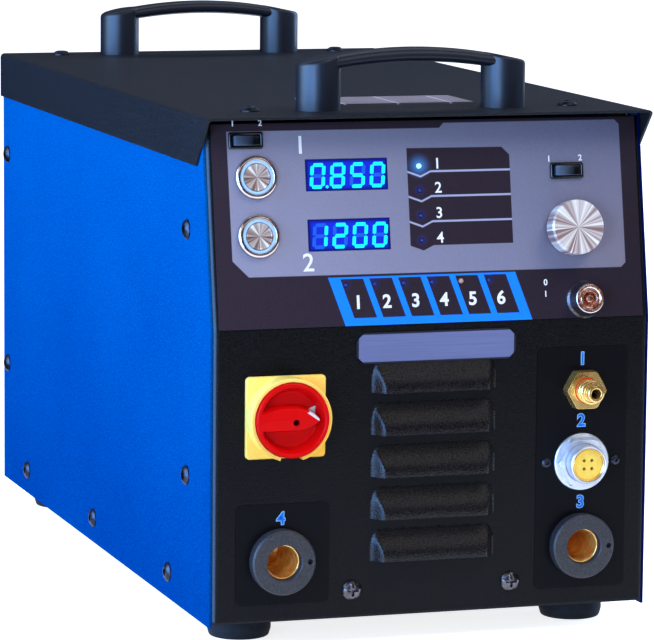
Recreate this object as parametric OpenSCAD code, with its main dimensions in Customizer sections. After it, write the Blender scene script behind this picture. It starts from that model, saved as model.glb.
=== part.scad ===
// Portable stud welder: sheet-steel power unit with a leaning control fascia,
// two carrying handles, weld sockets, gas and control connectors, and its inner works.
// X runs right, Y runs back, Z runs up. The origin is on the floor, under the middle of the box.

/* [Body] */
// Width over the two side panels
body_w = 276; // [230:1:320]
// Depth from the lower front face to the rear face
body_d = 528; // [500:1:600]
// Height of the leaning part of the front panel
fascia_h = 120; // [100:1:150]
// Thickness of the sheet metal
sheet = 1.5; // [1:0.1:2]
// Outer radius of the sheet bends
bend_r = 3; // [2.5:0.1:5]
// Air gap between neighbouring painted sheets
sheet_gap = 0.2; // [0.1:0.05:0.4]
// How far the side panels hang below the base tray
side_drop = 2; // [0:0.5:4]
// How far the side panels' front edge stays behind the front face
side_inset = 2; // [0:0.5:4]
// Height of the base tray's upturned flanges
tray_flange = 29; // [26:1:40]

/* [Front panel] */
// Height of the upright lower part of the front panel
lower_h = 174; // [145:1:210]
// Backward lean of the fascia, in degrees
lean = 10; // [6:0.5:14]
// Length of the returns at the sides of the front panel
return_d = 62; // [60:1:80]
// Length of the returns at the sides of the rear panel
rear_return = 34; // [26:1:45]
// Gap between the panels' top edges and the cover
top_gap = 3; // [2:0.5:6]
// Number of louvres
louvre_n = 5; // [2:1:5]
// Spacing of the louvres, as a share of the lower part's height
louvre_step = 0.14598; // [0.12:0.001:0.155]
// Width of a louvre, as a share of the body's width
louvre_span = 0.25362; // [0.15:0.001:0.29]
// Height of a louvre, as a share of the lower part's height
louvre_rise = 0.09195; // [0.07:0.001:0.1]
// How far a louvre stands out of the panel
louvre_out = 7; // [5:0.5:9]
// Height of the lowest louvre's edge, as a share of the lower part's height
louvre_start = 0.18793; // [0.16:0.001:0.22]

/* [Cover and handles] */
// How far the cover's front edge stays behind the lower front face
visor_y = 5; // [0:0.5:12]
// Height of the cover's side flanges
flange_h = 30; // [24:1:40]
// How far the flange's front edge is cut back at its lower end
flange_cut = 26; // [10:1:40]
// Height of the cover's rear flange
rear_flange_h = 20; // [10:1:30]
// Distance of the front handle and cover screws behind the lower front face
front_row_y = 48; // [45:0.5:60]
// Distance of the rear handle and cover screws from the rear face
rear_row_y = 20; // [18:0.5:30]
// Length of a handle
handle_len = 144.4; // [120:0.2:170]
// Depth of a handle, front to back
handle_d = 27; // [20:0.5:28]
// Height of a handle at its crown
handle_h = 37; // [34:0.5:60]
// Height of a handle's top at its ends
handle_end_h = 28; // [26:0.5:33]
// Width of a handle's leg
leg_w = 27; // [18:0.5:32]
// Height of the finger gap at the legs
grip_gap_h = 22; // [16:0.5:24]
// How far the finger gap's top bows up in the middle
grip_bow = 5.5; // [2:0.5:6]
// Depth of the rails under the cover
rail_d = 30; // [26:1:34]
// Length of the rails' legs along the side panels
rail_leg = 78; // [74:1:100]
// Distance of a cover screw from the middle, as a share of the body's width
cover_screw_share = 0.36594; // [0.34:0.001:0.42]

/* [Feet and screws] */
// Height of the rubber feet
foot_h = 16; // [12:0.5:24]
// Radius of the rubber feet
foot_r = 19.5; // [14:0.5:24]
// Distance of a foot's centre from the side
foot_inset_x = 31; // [28:1:50]
// Distance of a foot's centre from the front or rear face
foot_inset_y = 45; // [40:1:70]
// Radius of the button-head screws' heads
head_r = 6; // [5:0.1:7]
// Height of the button-head screws' heads
head_h = 2.8; // [2:0.1:4]
// Radius of the screws' shanks
shank_r = 2.4; // [2:0.1:3]
// Clearance of a screw in its hole
hole_clear = 0.2; // [0.1:0.05:0.5]
// Height of the lower side screws above the tray's underside
low_screw_up = 14.5; // [10:0.5:22]
// Height of the middle side screws above the tray's underside
mid_screw_up = 81.5; // [60:0.5:120]
// Distance of the upper side screws below the cover's top
high_screw_drop = 70; // [60:0.5:74]
// Distance of the front side screws behind the lower front face
front_screw_y = 52.5; // [46:0.5:58]
// Distance of the rear side screws from the rear face
rear_screw_y = 13.5; // [10:0.5:20]
// Distance of a front panel screw from the middle, as a share of the body's width
panel_screw_share = 0.18225; // [0.14:0.001:0.21]
// Height of a front panel screw above the panel's lower edge
panel_screw_up = 15.5; // [10:0.5:20]

/* [Fascia controls] */
// Thickness of the printed fascia sheet
overlay_t = 0.5; // [0.3:0.1:1]
// Margin from the front panel's rounded corners to the printed fascia sheet
overlay_margin = 0; // [0:0.5:6]
// Width of a display window
display_w = 50.8; // [40:0.1:54]
// Height of a display window
display_h = 18.6; // [14:0.1:22]
// Depth of a display module behind the fascia
display_depth = 8; // [6:0.5:12]
// Distance of the displays' centre left of the middle, as a share of the body's width
display_share = 0.18478; // [0.175:0.001:0.2]
// Heights of the two displays' centres, as shares of the fascia's length
display_rows = [0.4481, 0.7402];
// Radius of the push-buttons' bezels
bezel_r = 13.1; // [11.8:0.05:13.5]
// Height of the push-buttons' bezels
bezel_h = 3; // [2:0.1:5]
// Radius of the push-buttons' barrels
button_barrel_r = 10.9; // [10:0.1:11.2]
// Radius of a push-button's cap
cap_r = 8; // [6:0.1:9]
// Travel of a push-button
button_travel = 1.5; // [1:0.1:3]
// Distance of the push-buttons left of the middle, as a share of the body's width
button_share = 0.38768; // [0.375:0.001:0.4]
// Heights of the two push-buttons' centres, as shares of the fascia's length
button_rows = [0.4505, 0.7353];
// Width of a rocker switch's frame
rocker_w = 21; // [18:0.5:24]
// Height of a rocker switch's frame
rocker_h = 10; // [9:0.1:12]
// Tilt of a rocker from its middle to either side, in degrees
rocker_tilt = 7; // [4:0.5:9]
// Places of the two rocker switches, as shares of the body's width and the fascia's length
rocker_places = [[-0.40761, 0.915], [0.31957, 0.7337]];
// Radius of the dial knob
dial_r = 16.5; // [12:0.5:18]
// Height of the dial knob
dial_h = 11; // [10:0.5:16]
// Push travel of the dial
dial_travel = 1; // [0.5:0.1:1.2]
// Radius of the dial's shaft
dial_shaft_r = 3; // [2.5:0.1:3.5]
// Place of the dial, as shares of the body's width and the fascia's length
dial_place = [0.325, 0.4481];
// Radius of the key switch's bezel
key_bezel_r = 11; // [9.5:0.1:11]
// Height of the key switch's bezel
key_bezel_h = 10.5; // [6:0.5:12]
// Radius of the key switch's turning barrel
key_rotor_r = 6; // [4.5:0.1:6.5]
// Place of the key switch, as shares of the body's width and the fascia's length
key_place = [0.3471, 0.0944];
// Radius of an indicator lamp
led_r = 1.5; // [1:0.1:1.8]
// Running clearance of a turning shaft in its hole
shaft_fit = 0.06; // [0.03:0.01:0.09]
// Clearance round a sliding or swinging control
slide_fit = 0.3; // [0.2:0.05:0.4]

/* [Main switch] */
// Side of the yellow plate
plate_side = 49; // [46:0.5:56]
// Thickness of the yellow plate
plate_t = 3; // [2:0.5:4]
// Radius of the red handle
isolator_r = 22.2; // [20:0.1:24]
// Height of the red handle
isolator_h = 11; // [8:0.5:14]
// Half width of the handle's grip bar at its middle
grip_half = 7; // [5:0.5:9]
// Radius of the switch's shaft
isolator_shaft_r = 4; // [3:0.1:5]
// Distance of the main switch left of the middle, as a share of the body's width
isolator_share = 0.33659; // [0.32:0.001:0.36]
// Height of the main switch, as a share of the lower part's height
isolator_level = 0.70115; // [0.66:0.001:0.73]

/* [Connectors] */
// Distance of a weld socket from the middle, as a share of the body's width
socket_share = 0.34348; // [0.33:0.001:0.36]
// Height of the weld sockets, as a share of the lower part's height
socket_level = 0.2046; // [0.18:0.001:0.23]
// Radius of a socket's collar
collar_r = 19.6; // [18:0.1:21.5]
// How far a socket's collar stands out
collar_h = 8.5; // [6:0.5:11]
// Radius of a weld socket's bore
socket_bore_r = 9.5; // [6.5:0.1:10]
// Depth of a weld socket's bore
socket_bore_d = 40; // [30:1:44]
// Wall of a weld socket's brass sleeve
socket_wall = 2.8; // [2:0.1:3.2]
// Thickness of the stick-on labels
label_t = 0.4; // [0.2:0.1:0.8]
// Height of the gas fitting, as a share of the lower part's height
gas_level = 0.7546; // [0.72:0.001:0.78]
// Width across the flats of the gas fitting's hexagon
gas_hex = 22.2; // [19:0.1:24]
// Radius of the gas fitting's nose
gas_nose_r = 5.2; // [4:0.1:5.5]
// Length of the gas fitting's nose
gas_nose_len = 6.5; // [5:0.5:9]
// Radius of the gas passage
gas_bore_r = 3; // [2:0.1:3.2]
// Height of the control connector, as a share of the lower part's height
plug_level = 0.49828; // [0.48:0.001:0.52]
// Radius of the control connector's flange
plug_flange_r = 17.5; // [16:0.1:18.5]
// Radius of the control connector's barrel
plug_barrel_r = 11.6; // [10.5:0.1:11.9]
// Wall of the control connector's barrel
plug_wall = 1.4; // [1:0.1:1.6]
// Distance of the connector's bracket screws from its axis
plug_screw_x = 22.3; // [20:0.1:25]

/* [Inner works] */
// Outer side of the fan's frame
fan_side = 119; // [92:1:119]
// Thickness of the fan
fan_t = 25; // [20:0.5:38]
// Height of the fan's axis above the panel's lower edge
fan_up = 180; // [160:1:190]
// Distance of the fan's axis left of the middle, as a share of the body's width
fan_share = 0.16304; // [0.1:0.001:0.18]
// Width of the transformer's core
core_w = 120; // [90:1:130]
// Depth of the transformer's core
core_d = 60; // [40:1:80]
// Height of the transformer's core
core_h = 100; // [80:1:120]
// Radius of a capacitor can
can_r = 30; // [20:0.5:32]
// Height of a capacitor can
can_h = 115; // [80:1:125]
// Height of the deck above the tray's floor, as a share of the lower part's height
deck_level = 0.93103; // [0.88:0.001:0.96]
// Distance of the deck's sides from the body's sides
deck_gap = 18; // [16:1:26]
// Length of the deck
deck_len = 350; // [330:1:370]
// Number of fins on the heat sink
fin_n = 12; // [6:1:18]

/* [Hidden] */
$fn = 48;

// Colours of the finishes
black_paint = "#2b2d34";
blue_paint = "#0a56c8";
black_plastic = "#1b1c20";
zinc = "#b8bcc2";
brass = "#c9a24a";
copper = "#b8703c";
chrome = "#d8dade";

// Overshoot of a cut past the face it opens
over = 1;

// The gas fitting reaches as far out in front as the cable gland does behind
gas_hex_len = 8.5;
gas_neck_r = 7.4;
gas_neck_len = 8.5;
front_reach = label_t + gas_hex_len + gas_neck_len + gas_nose_len;
gland_reach = front_reach;
front_y = -body_d / 2;
rear_y = body_d / 2;
panel_z = foot_h + sheet;
bend_z = panel_z + lower_h;
inner_w = body_w - 2 * sheet;
cover_w = body_w + 2 * (sheet_gap + sheet);
cover_rear_y = rear_y + sheet_gap + sheet;
sheet_top = bend_z + fascia_h;
cover_z = sheet_top + top_gap + sheet;
fascia_len = fascia_h / cos(lean);
front_row = front_y + front_row_y;
rear_row = rear_y - rear_row_y;
leg_x = (handle_len - leg_w) / 2;
// Lower side screws: distances behind the front return, behind the middle and before the rear return
low_screw_gaps = [30, 10, 38];
side_low_y = [front_y + return_d + low_screw_gaps[0], low_screw_gaps[1],
    rear_y - rear_return - low_screw_gaps[2]];
high_screw_up = cover_z - foot_h - high_screw_drop;
hole_r = shank_r + hole_clear;
// Radius of a weld socket's collar inside the panel
spigot_r = 15.5;

// Places that follow the body's width, the lower part's height and the fascia's length
louvre_pitch = louvre_step * lower_h;
louvre_w = louvre_span * body_w;
louvre_up = louvre_start * lower_h;
louvre_hgt = louvre_rise * lower_h;
cover_screw_x = cover_screw_share * body_w;
panel_screw_x = panel_screw_share * body_w;
overlay_half = inner_w / 2 - bend_r - overlay_margin;
display_x = display_share * body_w;
display_s = display_rows * fascia_len;
button_x = button_share * body_w;
button_s = button_rows * fascia_len;
function on_shares(place) = [place[0] * body_w, place[1] * fascia_len];
rocker_at = [for (place = rocker_places) on_shares(place)];
dial_at = on_shares(dial_place);
key_at = on_shares(key_place);
isolator_x = isolator_share * body_w;
isolator_up = isolator_level * lower_h;
socket_x = socket_share * body_w;
socket_up = socket_level * lower_h;
gas_up = gas_level * lower_h;
plug_up = plug_level * lower_h;
fan_x = fan_share * body_w;
deck_up = deck_level * lower_h;
deck_w = body_w - 2 * deck_gap;

// Puts a shape on the upright lower front: x right, y up from the panel's edge, z outward
module on_front(x, up) {
    translate([x, front_y, panel_z + up]) rotate([90, 0, 0]) children();
}

// Puts a shape on the leaning fascia: x right, y up from the bend, z outward
module on_fascia(x, s) {
    translate([0, front_y, bend_z]) rotate([90 - lean, 0, 0]) translate([x, s, 0]) children();
}

// Puts a shape on the rear face: x left, y up from the panel's edge, z outward
module on_rear(x, up) {
    translate([x, rear_y, panel_z + up]) rotate([90, 0, 180]) children();
}

// Flat rectangle with round corners, about its middle
module rounded_rect(w, h, r) {
    square([w - 2 * r, h], center = true);
    square([w, h - 2 * r], center = true);
    for (sx = [-1, 1], sy = [-1, 1])
        translate([sx * (w / 2 - r), sy * (h / 2 - r)]) circle(r);
}

// Outline of a block of width w and depth d whose two front corners are round
module u_outline(w, d, r) {
    translate([-w / 2, r]) square([w, d - r]);
    translate([-w / 2 + r, 0]) square([w - 2 * r, d]);
    for (sx = [-1, 1]) translate([sx * (w / 2 - r), r]) circle(r);
}

// Section of a sheet bent into a channel: web at y = 0, two returns of length d
module channel(w, d) {
    difference() {
        u_outline(w, d, bend_r);
        translate([0, sheet]) u_outline(w - 2 * sheet, d, bend_r - sheet);
    }
}

// Channel laid along Y with its web on top at height z
module roof_channel(w, d, y, len, z) {
    translate([0, y, z]) rotate([-90, 0, 0]) linear_extrude(len) channel(w, d);
}

// Button-head screw: the head stands on z = 0, the shank goes down
module button_screw(len) {
    difference() {
        cylinder(h = head_h, r1 = head_r, r2 = head_r * 0.7);
        translate([0, 0, head_h * 0.4]) cylinder(h = head_h, r = head_r * 0.42, $fn = 6);
    }
    translate([0, 0, -len]) cylinder(h = len, r = shank_r);
}

// Ring of a hexagonal lock nut that hangs down from z = 0
module lock_nut(flats, bore, h) {
    translate([0, 0, -h]) difference() {
        cylinder(h = h, r = flats / sqrt(3), $fn = 6);
        translate([0, 0, -over]) cylinder(h = h + 2 * over, r = bore);
    }
}

// Body: tray, panels and cover
corner_cut = 9;
// The front flange ends short of the weld sockets' nuts
front_flange_half = socket_x - spigot_r - 8;
module base_tray() {
    color(black_paint) difference() {
        translate([-inner_w / 2, front_y + sheet, foot_h])
            cube([inner_w, body_d - 2 * sheet, tray_flange]);
        translate([-inner_w / 2 + sheet, front_y + 2 * sheet, panel_z])
            cube([inner_w - 2 * sheet, body_d - 4 * sheet, tray_flange]);
        for (sx = [-1, 1]) {
            translate([sx * inner_w / 2 - corner_cut, front_y, panel_z])
                cube([2 * corner_cut, return_d + over, tray_flange]);
            translate([sx * (front_flange_half + inner_w / 2) - inner_w / 2, front_y, panel_z])
                cube([inner_w, corner_cut, tray_flange]);
            translate([sx * inner_w / 2 - corner_cut, rear_y - rear_return - over, panel_z])
                cube([2 * corner_cut, rear_return + over, tray_flange]);
            on_front(sx * panel_screw_x, panel_screw_up)
                translate([0, 0, -3 * sheet]) cylinder(h = 3 * sheet, r = hole_r);
            for (y = side_low_y)
                translate([sx * inner_w / 2 - 2 * sheet, y, foot_h + low_screw_up])
                    rotate([0, 90, 0]) cylinder(h = 4 * sheet, r = hole_r);
        }
        at_feet() translate([0, 0, foot_h - over]) cylinder(h = sheet + 2 * over, r = hole_r);
    }
}

module louvre_profile(shrink) {
    bow = (louvre_out * louvre_out + louvre_hgt * louvre_hgt) / (2 * louvre_out);
    intersection() {
        translate([louvre_out - bow, 0]) circle(bow - shrink);
        square([louvre_out, louvre_hgt]);
    }
}

// Hood of a louvre: bowed from top to mouth, with rounded ends, open below
louvre_round = 0.8;
module louvre_solid(shrink) {
    reach = louvre_out - shrink;
    intersection() {
        translate([-louvre_w / 2, 0, 0]) rotate([90, 0, 90]) linear_extrude(louvre_w)
            mirror([1, 0]) louvre_profile(shrink);
        translate([0, -reach, 0]) linear_extrude(louvre_hgt)
            u_outline(louvre_w - 2 * shrink, reach, louvre_round * reach);
    }
}

module at_louvres() {
    for (i = [0:louvre_n - 1])
        translate([0, front_y, panel_z + louvre_up + i * louvre_pitch]) children();
}

// Openings through the fascia for its controls, each cut with room around it
fascia_hole_gap = 0.2;
module fascia_cuts(depth) {
    for (s = display_s) on_fascia(-display_x, s) translate([0, 0, -depth])
        linear_extrude(2 * depth)
            square([display_w + 2 * fascia_hole_gap, display_h + 2 * fascia_hole_gap], center = true);
    for (s = button_s) on_fascia(-button_x, s)
        translate([0, 0, -depth]) cylinder(h = 2 * depth, r = button_barrel_r + fascia_hole_gap);
    for (at = rocker_at) on_fascia(at[0], at[1]) translate([0, 0, -depth]) linear_extrude(2 * depth)
        square([rocker_w - 2 * rocker_lip + 2 * fascia_hole_gap,
                rocker_h - 2 * rocker_lip + 2 * fascia_hole_gap], center = true);
    on_fascia(dial_at[0], dial_at[1])
        translate([0, 0, -depth]) cylinder(h = 2 * depth, r = bush_r + fascia_hole_gap);
    on_fascia(key_at[0], key_at[1])
        translate([0, 0, -depth]) cylinder(h = 2 * depth, r = key_barrel_r + fascia_hole_gap);
    for (at = led_at) on_fascia(at[0], at[1])
        translate([0, 0, -depth]) cylinder(h = 2 * depth, r = led_r + fascia_hole_gap);
}

// Openings through the lower front for its switch and connectors
module lower_cuts(depth) {
    on_front(-isolator_x, isolator_up)
        translate([0, 0, -depth]) cylinder(h = depth + over, r = isolator_shaft_r + 2);
    for (sx = [-1, 1]) {
        on_front(sx * socket_x, socket_up)
            translate([0, 0, -depth]) cylinder(h = depth + over, r = spigot_r + fascia_hole_gap);
        on_front(sx * panel_screw_x, panel_screw_up)
            translate([0, 0, -depth]) cylinder(h = depth + over, r = hole_r);
        on_front(socket_x + sx * plug_screw_x, plug_up)
            translate([0, 0, -depth]) cylinder(h = depth + over, r = hole_r);
    }
    on_front(socket_x, gas_up)
        translate([0, 0, -depth]) cylinder(h = depth + over, r = gas_thread_r + fascia_hole_gap);
    on_front(socket_x, plug_up)
        translate([0, 0, -depth]) cylinder(h = depth + over, r = plug_spigot_r + fascia_hole_gap);
}

// Side view point of the leaning part: s up along the fascia, n inward from its face
function leaning(s, n) = [front_y + s * sin(lean) + n * cos(lean), bend_z + s * cos(lean) - n * sin(lean)];

// Side view of the front panel from its inset face inward, drawn past its open edges by extra
module panel_side(inset, extra) {
    deep = return_d + extra;
    polygon([[front_y + inset, panel_z - extra], [front_y + deep, panel_z - extra],
        [front_y + deep, bend_z - deep * tan(lean / 2)], leaning(fascia_len + extra, deep),
        leaning(fascia_len + extra, inset), [front_y + inset, bend_z - inset * tan(lean / 2)]]);
}

// Plan of what a bend takes off a square corner, in flat steps
corner_steps = 3;
module corner_waste() {
    polygon(concat([[-over, -over], [bend_r, -over]],
        [for (i = [0:corner_steps])
            [bend_r * (1 - sin(90 * i / corner_steps)), bend_r * (1 - cos(90 * i / corner_steps))]],
        [[-over, bend_r]]));
}
module lower_corner() {
    translate([-inner_w / 2, front_y, panel_z - over])
        linear_extrude(lower_h + over + bend_r) corner_waste();
}
module upper_corner() {
    translate([-inner_w / 2, front_y, bend_z]) rotate([-lean, 0, 0]) translate([0, 0, -bend_r])
        linear_extrude(fascia_len + bend_r + over) corner_waste();
}
module bent_panel() {
    difference() {
        difference() {
            translate([-inner_w / 2, 0, 0]) rotate([90, 0, 90])
                linear_extrude(inner_w) panel_side(0, 0);
            lower_corner();
            mirror([1, 0, 0]) lower_corner();
        }
        upper_corner();
        mirror([1, 0, 0]) upper_corner();
    }
}

module front_panel() {
    color(black_paint) difference() {
        union() {
            difference() {
                bent_panel();
                translate([sheet - inner_w / 2, 0, 0]) rotate([90, 0, 90])
                    linear_extrude(inner_w - 2 * sheet) panel_side(sheet, over);
            }
            at_louvres() difference() {
                louvre_solid(0);
                louvre_solid(sheet);
            }
        }
        at_louvres() translate([louvre_out - louvre_w / 2, 0, 0])
            cube([louvre_w - 2 * louvre_out, sheet + over, louvre_hgt - 3 * sheet]);
        fascia_cuts(3 * sheet);
        lower_cuts(3 * sheet);
        for (sx = [-1, 1], up = [mid_screw_up, high_screw_up])
            translate([sx * inner_w / 2, front_y + front_screw_y, foot_h + up])
                rotate([0, 90, 0]) cylinder(h = 4 * sheet, r = hole_r, center = true);
    }
}

module rear_panel() {
    color(black_paint) difference() {
        translate([0, rear_y, panel_z]) rotate([0, 0, 180])
            linear_extrude(sheet_top - panel_z) channel(inner_w, rear_return);
        on_rear(-fan_x, fan_up) translate([0, 0, -3 * sheet]) {
            cylinder(h = 4 * sheet, r = fan_throat_r);
            at_fan_corners() cylinder(h = 4 * sheet, r = hole_r);
        }
        on_rear(socket_x, gas_up)
            translate([0, 0, -3 * sheet]) cylinder(h = 4 * sheet, r = gas_thread_r + fascia_hole_gap);
        on_rear(gland_x, gland_up)
            translate([0, 0, -3 * sheet]) cylinder(h = 4 * sheet, r = gland_thread_r + fascia_hole_gap);
        for (sx = [-1, 1], up = [mid_screw_up, high_screw_up])
            translate([sx * inner_w / 2, rear_y - rear_screw_y, foot_h + up])
                rotate([0, 90, 0]) cylinder(h = 4 * sheet, r = hole_r, center = true);
    }
}

// Places of the side screws: distance along Y and height
side_screw_at = concat(
    [for (up = [mid_screw_up, high_screw_up], y = [front_y + front_screw_y, rear_y - rear_screw_y])
        [y, foot_h + up]],
    [for (y = side_low_y) [y, foot_h + low_screw_up]]);

// Flat side panel whose front edge follows the bend of the front panel
module side_panel(x) {
    front = front_y + side_inset;
    top = cover_z - bend_r;
    color(blue_paint) difference() {
        translate([x, 0, 0]) rotate([90, 0, 90]) linear_extrude(sheet) polygon([
            [front, foot_h - side_drop], [rear_y, foot_h - side_drop], [rear_y, top],
            [front + (top - bend_z) * tan(lean), top], [front, bend_z]]);
        for (at = side_screw_at) translate([x - over, at[0], at[1]])
            rotate([0, 90, 0]) cylinder(h = sheet + 2 * over, r = hole_r);
    }
}
module left_side_panel() { side_panel(-body_w / 2); }
module right_side_panel() { side_panel(inner_w / 2); }

module at_cover_screws() {
    for (sx = [-1, 1], y = [front_row, rear_row]) translate([sx * cover_screw_x, y, 0]) children();
}
module at_handle_legs() {
    for (sx = [-1, 1], y = [front_row, rear_row]) translate([sx * leg_x, y, 0]) children();
}

module top_cover() {
    color(black_paint) difference() {
        union() {
            roof_channel(cover_w, flange_h, front_y + visor_y, cover_rear_y - front_y - visor_y, cover_z);
            translate([-cover_w / 2 + bend_r, cover_rear_y - sheet, cover_z - rear_flange_h])
                cube([cover_w - 2 * bend_r, sheet, rear_flange_h - sheet / 2]);
        }
        translate([-cover_w, front_y + visor_y, cover_z]) rotate([90, 0, 90])
            linear_extrude(2 * cover_w) polygon([
                [-over, -sheet], [0, -sheet], [flange_cut, -flange_h],
                [flange_cut, -flange_h - over], [-over, -flange_h - over]]);
        at_cover_screws() translate([0, 0, cover_z - sheet - over])
            cylinder(h = sheet + 2 * over, r = hole_r);
        at_handle_legs() translate([0, 0, cover_z - sheet - over])
            cylinder(h = sheet + 2 * over, r = hole_r);
    }
}

// Cross rails under the cover, screwed to the side panels, that carry the handles
module top_rails() {
    color(zinc) difference() {
        for (y = [front_row, rear_row - rail_d / 2 + rear_screw_y])
            roof_channel(inner_w - 2 * sheet, rail_leg, y - rail_d / 2, rail_d, cover_z - sheet);
        at_cover_screws() translate([0, 0, cover_z - 2 * sheet - over])
            cylinder(h = 2 * sheet, r = hole_r);
        at_handle_legs() translate([0, 0, cover_z - 2 * sheet - over])
            cylinder(h = 2 * sheet, r = hole_r);
        for (sx = [-1, 1], y = [front_y + front_screw_y, rear_y - rear_screw_y])
            translate([sx * (inner_w / 2 - 1.5 * sheet), y, foot_h + high_screw_up])
                rotate([0, 90, 0]) cylinder(h = 2 * sheet, r = hole_r, center = true);
    }
}

// Front outline of a handle: arched top over a finger gap
module handle_outline() {
    rise = handle_h - handle_end_h;
    arch_r = (handle_len * handle_len / 4 + rise * rise) / (2 * rise);
    gap = handle_len - 2 * leg_w;
    bow_r = (gap * gap / 4 + grip_bow * grip_bow) / (2 * grip_bow);
    difference() {
        intersection() {
            translate([-handle_len / 2, 0]) square([handle_len, handle_h]);
            translate([0, handle_h - arch_r]) circle(arch_r, $fn = 96);
        }
        translate([0, grip_gap_h / 2 - over / 2]) square([gap, grip_gap_h + over], center = true);
        intersection() {
            translate([-gap / 2, 0]) square([gap, handle_h]);
            translate([0, grip_gap_h + grip_bow - bow_r]) circle(bow_r, $fn = 96);
        }
    }
}

// Bridge handle: its outline, rounded in plan and over the top
handle_round = 8;
module handle(y) {
    color(black_plastic) translate([0, y, cover_z]) difference() {
        intersection() {
            rotate([90, 0, 0]) linear_extrude(handle_d, center = true) handle_outline();
            linear_extrude(handle_h) rounded_rect(handle_len, handle_d, handle_d / 2 - 0.5);
            translate([-handle_len / 2, 0, 0]) rotate([90, 0, 90]) linear_extrude(handle_len)
                translate([0, handle_h / 2 - handle_round])
                    rounded_rect(handle_d, handle_h + 2 * handle_round, handle_round);
        }
        for (sx = [-1, 1]) translate([sx * leg_x, 0, -over])
            cylinder(h = handle_bolt_len - 2 * sheet + 2 * over, r = hole_r);
    }
}
handle_bolt_len = 16;
module front_handle() { handle(front_row); }
module rear_handle() { handle(rear_row); }

// Screws down through the cover into the rails, and bolts up through both into the handles
module cover_screws() {
    color(black_plastic) {
        at_cover_screws() translate([0, 0, cover_z]) button_screw(3 * sheet);
        at_handle_legs() translate([0, 0, cover_z - 2 * sheet]) mirror([0, 0, 1])
            button_screw(handle_bolt_len);
    }
}

module side_screws() {
    color(black_plastic) for (sx = [-1, 1], at = side_screw_at)
        translate([sx * body_w / 2, at[0], at[1]]) rotate([0, sx * 90, 0]) button_screw(4 * sheet);
}

// Pan-head screws of the front panel and the smaller pair beside the control connector
module front_screws() {
    color(black_plastic) for (sx = [-1, 1]) {
        on_front(sx * panel_screw_x, panel_screw_up) button_screw(3 * sheet);
        on_front(socket_x + sx * plug_screw_x, plug_up) translate([0, 0, label_t]) {
            cylinder(h = head_h / 2, r1 = head_r / 2, r2 = head_r * 0.4);
            translate([0, 0, -label_t - 3 * sheet]) cylinder(h = label_t + 3 * sheet, r = shank_r);
        }
    }
}

// Rubber feet under the tray, each with a sunk screw
foot_edge = 2;
foot_seat = 6;
module at_feet() {
    for (sx = [-1, 1], y = [front_y + foot_inset_y, rear_y - foot_inset_y])
        translate([sx * (body_w / 2 - foot_inset_x), y, 0]) children();
}
module feet() {
    color("#18181a") at_feet() difference() {
        rotate_extrude() {
            translate([0, foot_edge]) square([foot_r, foot_h - foot_edge]);
            square([foot_r - foot_edge, foot_h]);
            translate([foot_r - foot_edge, foot_edge]) circle(foot_edge);
        }
        translate([0, 0, -over]) cylinder(h = foot_h + 2 * over, r = hole_r);
        translate([0, 0, -over]) cylinder(h = foot_seat + over, r = head_r + 2 * hole_clear);
    }
}
module foot_screws() {
    color(zinc) at_feet() translate([0, 0, foot_seat]) mirror([0, 0, 1])
        button_screw(foot_h + 3 * sheet - foot_seat);
}

// Fascia: printed sheet, displays, lamps and boards
menu_rows = [0.4103, 0.5318, 0.6549, 0.7731];
menu_share = -0.0203;
strip_start = -0.19674;
strip_step = 0.06522;
strip_level = 0.2052;
strip_n = 6;
led_at = concat([for (row = menu_rows) on_shares([menu_share, row])],
    [for (i = [0:strip_n - 1]) on_shares([strip_start + i * strip_step, strip_level])]);
module fascia_overlay() {
    color("#30242e") difference() {
        on_fascia(0, 0) translate([-overlay_half, overlay_t, 0])
            cube([2 * overlay_half, fascia_len - 2 * overlay_t, overlay_t]);
        fascia_cuts(3 * sheet);
    }
}

module displays() {
    color("#0c2a6e") for (s = display_s) on_fascia(-display_x, s)
        translate([-display_w / 2, -display_h / 2, -display_depth])
            cube([display_w, display_h, display_depth + overlay_t]);
}

board_t = 1.6;
display_board = concat(on_shares([-0.3116, 0.1477]), on_shares([0.2319, 0.9191]));
control_board_w = 0.19928 * body_w;
control_board_len = 230;
control_board_x = 0.30435 * body_w;
module circuit_boards() {
    color("#1f6b3a") {
        difference() {
            on_fascia(0, 0) translate([display_board[0], display_board[1], -display_depth - board_t])
                cube([display_board[2] - display_board[0], display_board[3] - display_board[1], board_t]);
            at_board_posts() translate([0, 0, -display_depth - 2 * board_t])
                cylinder(h = 3 * board_t, r = hole_r);
        }
        translate([control_board_x - control_board_w / 2, deck_y + deck_margin, deck_z + post_h])
            cube([control_board_w, control_board_len, board_t]);
    }
}
post_r = 3.2;
post_h = 6;
post_inset = 5;
module at_board_posts() {
    for (x = [display_board[0] + post_inset, display_board[2] - post_inset],
         s = [display_board[1] + post_inset, display_board[3] - post_inset])
        on_fascia(x, s) children();
}
module board_standoffs() {
    color(brass) {
        at_board_posts() translate([0, 0, -display_depth])
            cylinder(h = display_depth - sheet, r = post_r);
        for (sx = [-1, 1], y = [post_inset, control_board_len - post_inset])
            translate([control_board_x + sx * (control_board_w / 2 - post_inset),
                       deck_y + deck_margin + y, deck_z]) cylinder(h = post_h, r = post_r);
    }
}

module indicator_leds() {
    color("#9fd8ff") for (at = led_at) on_fascia(at[0], at[1])
        translate([0, 0, -display_depth]) {
            cylinder(h = display_depth + overlay_t, r = led_r);
            translate([0, 0, display_depth + overlay_t]) intersection() {
                sphere(led_r);
                cylinder(h = led_r, r = led_r);
            }
        }
}

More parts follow.
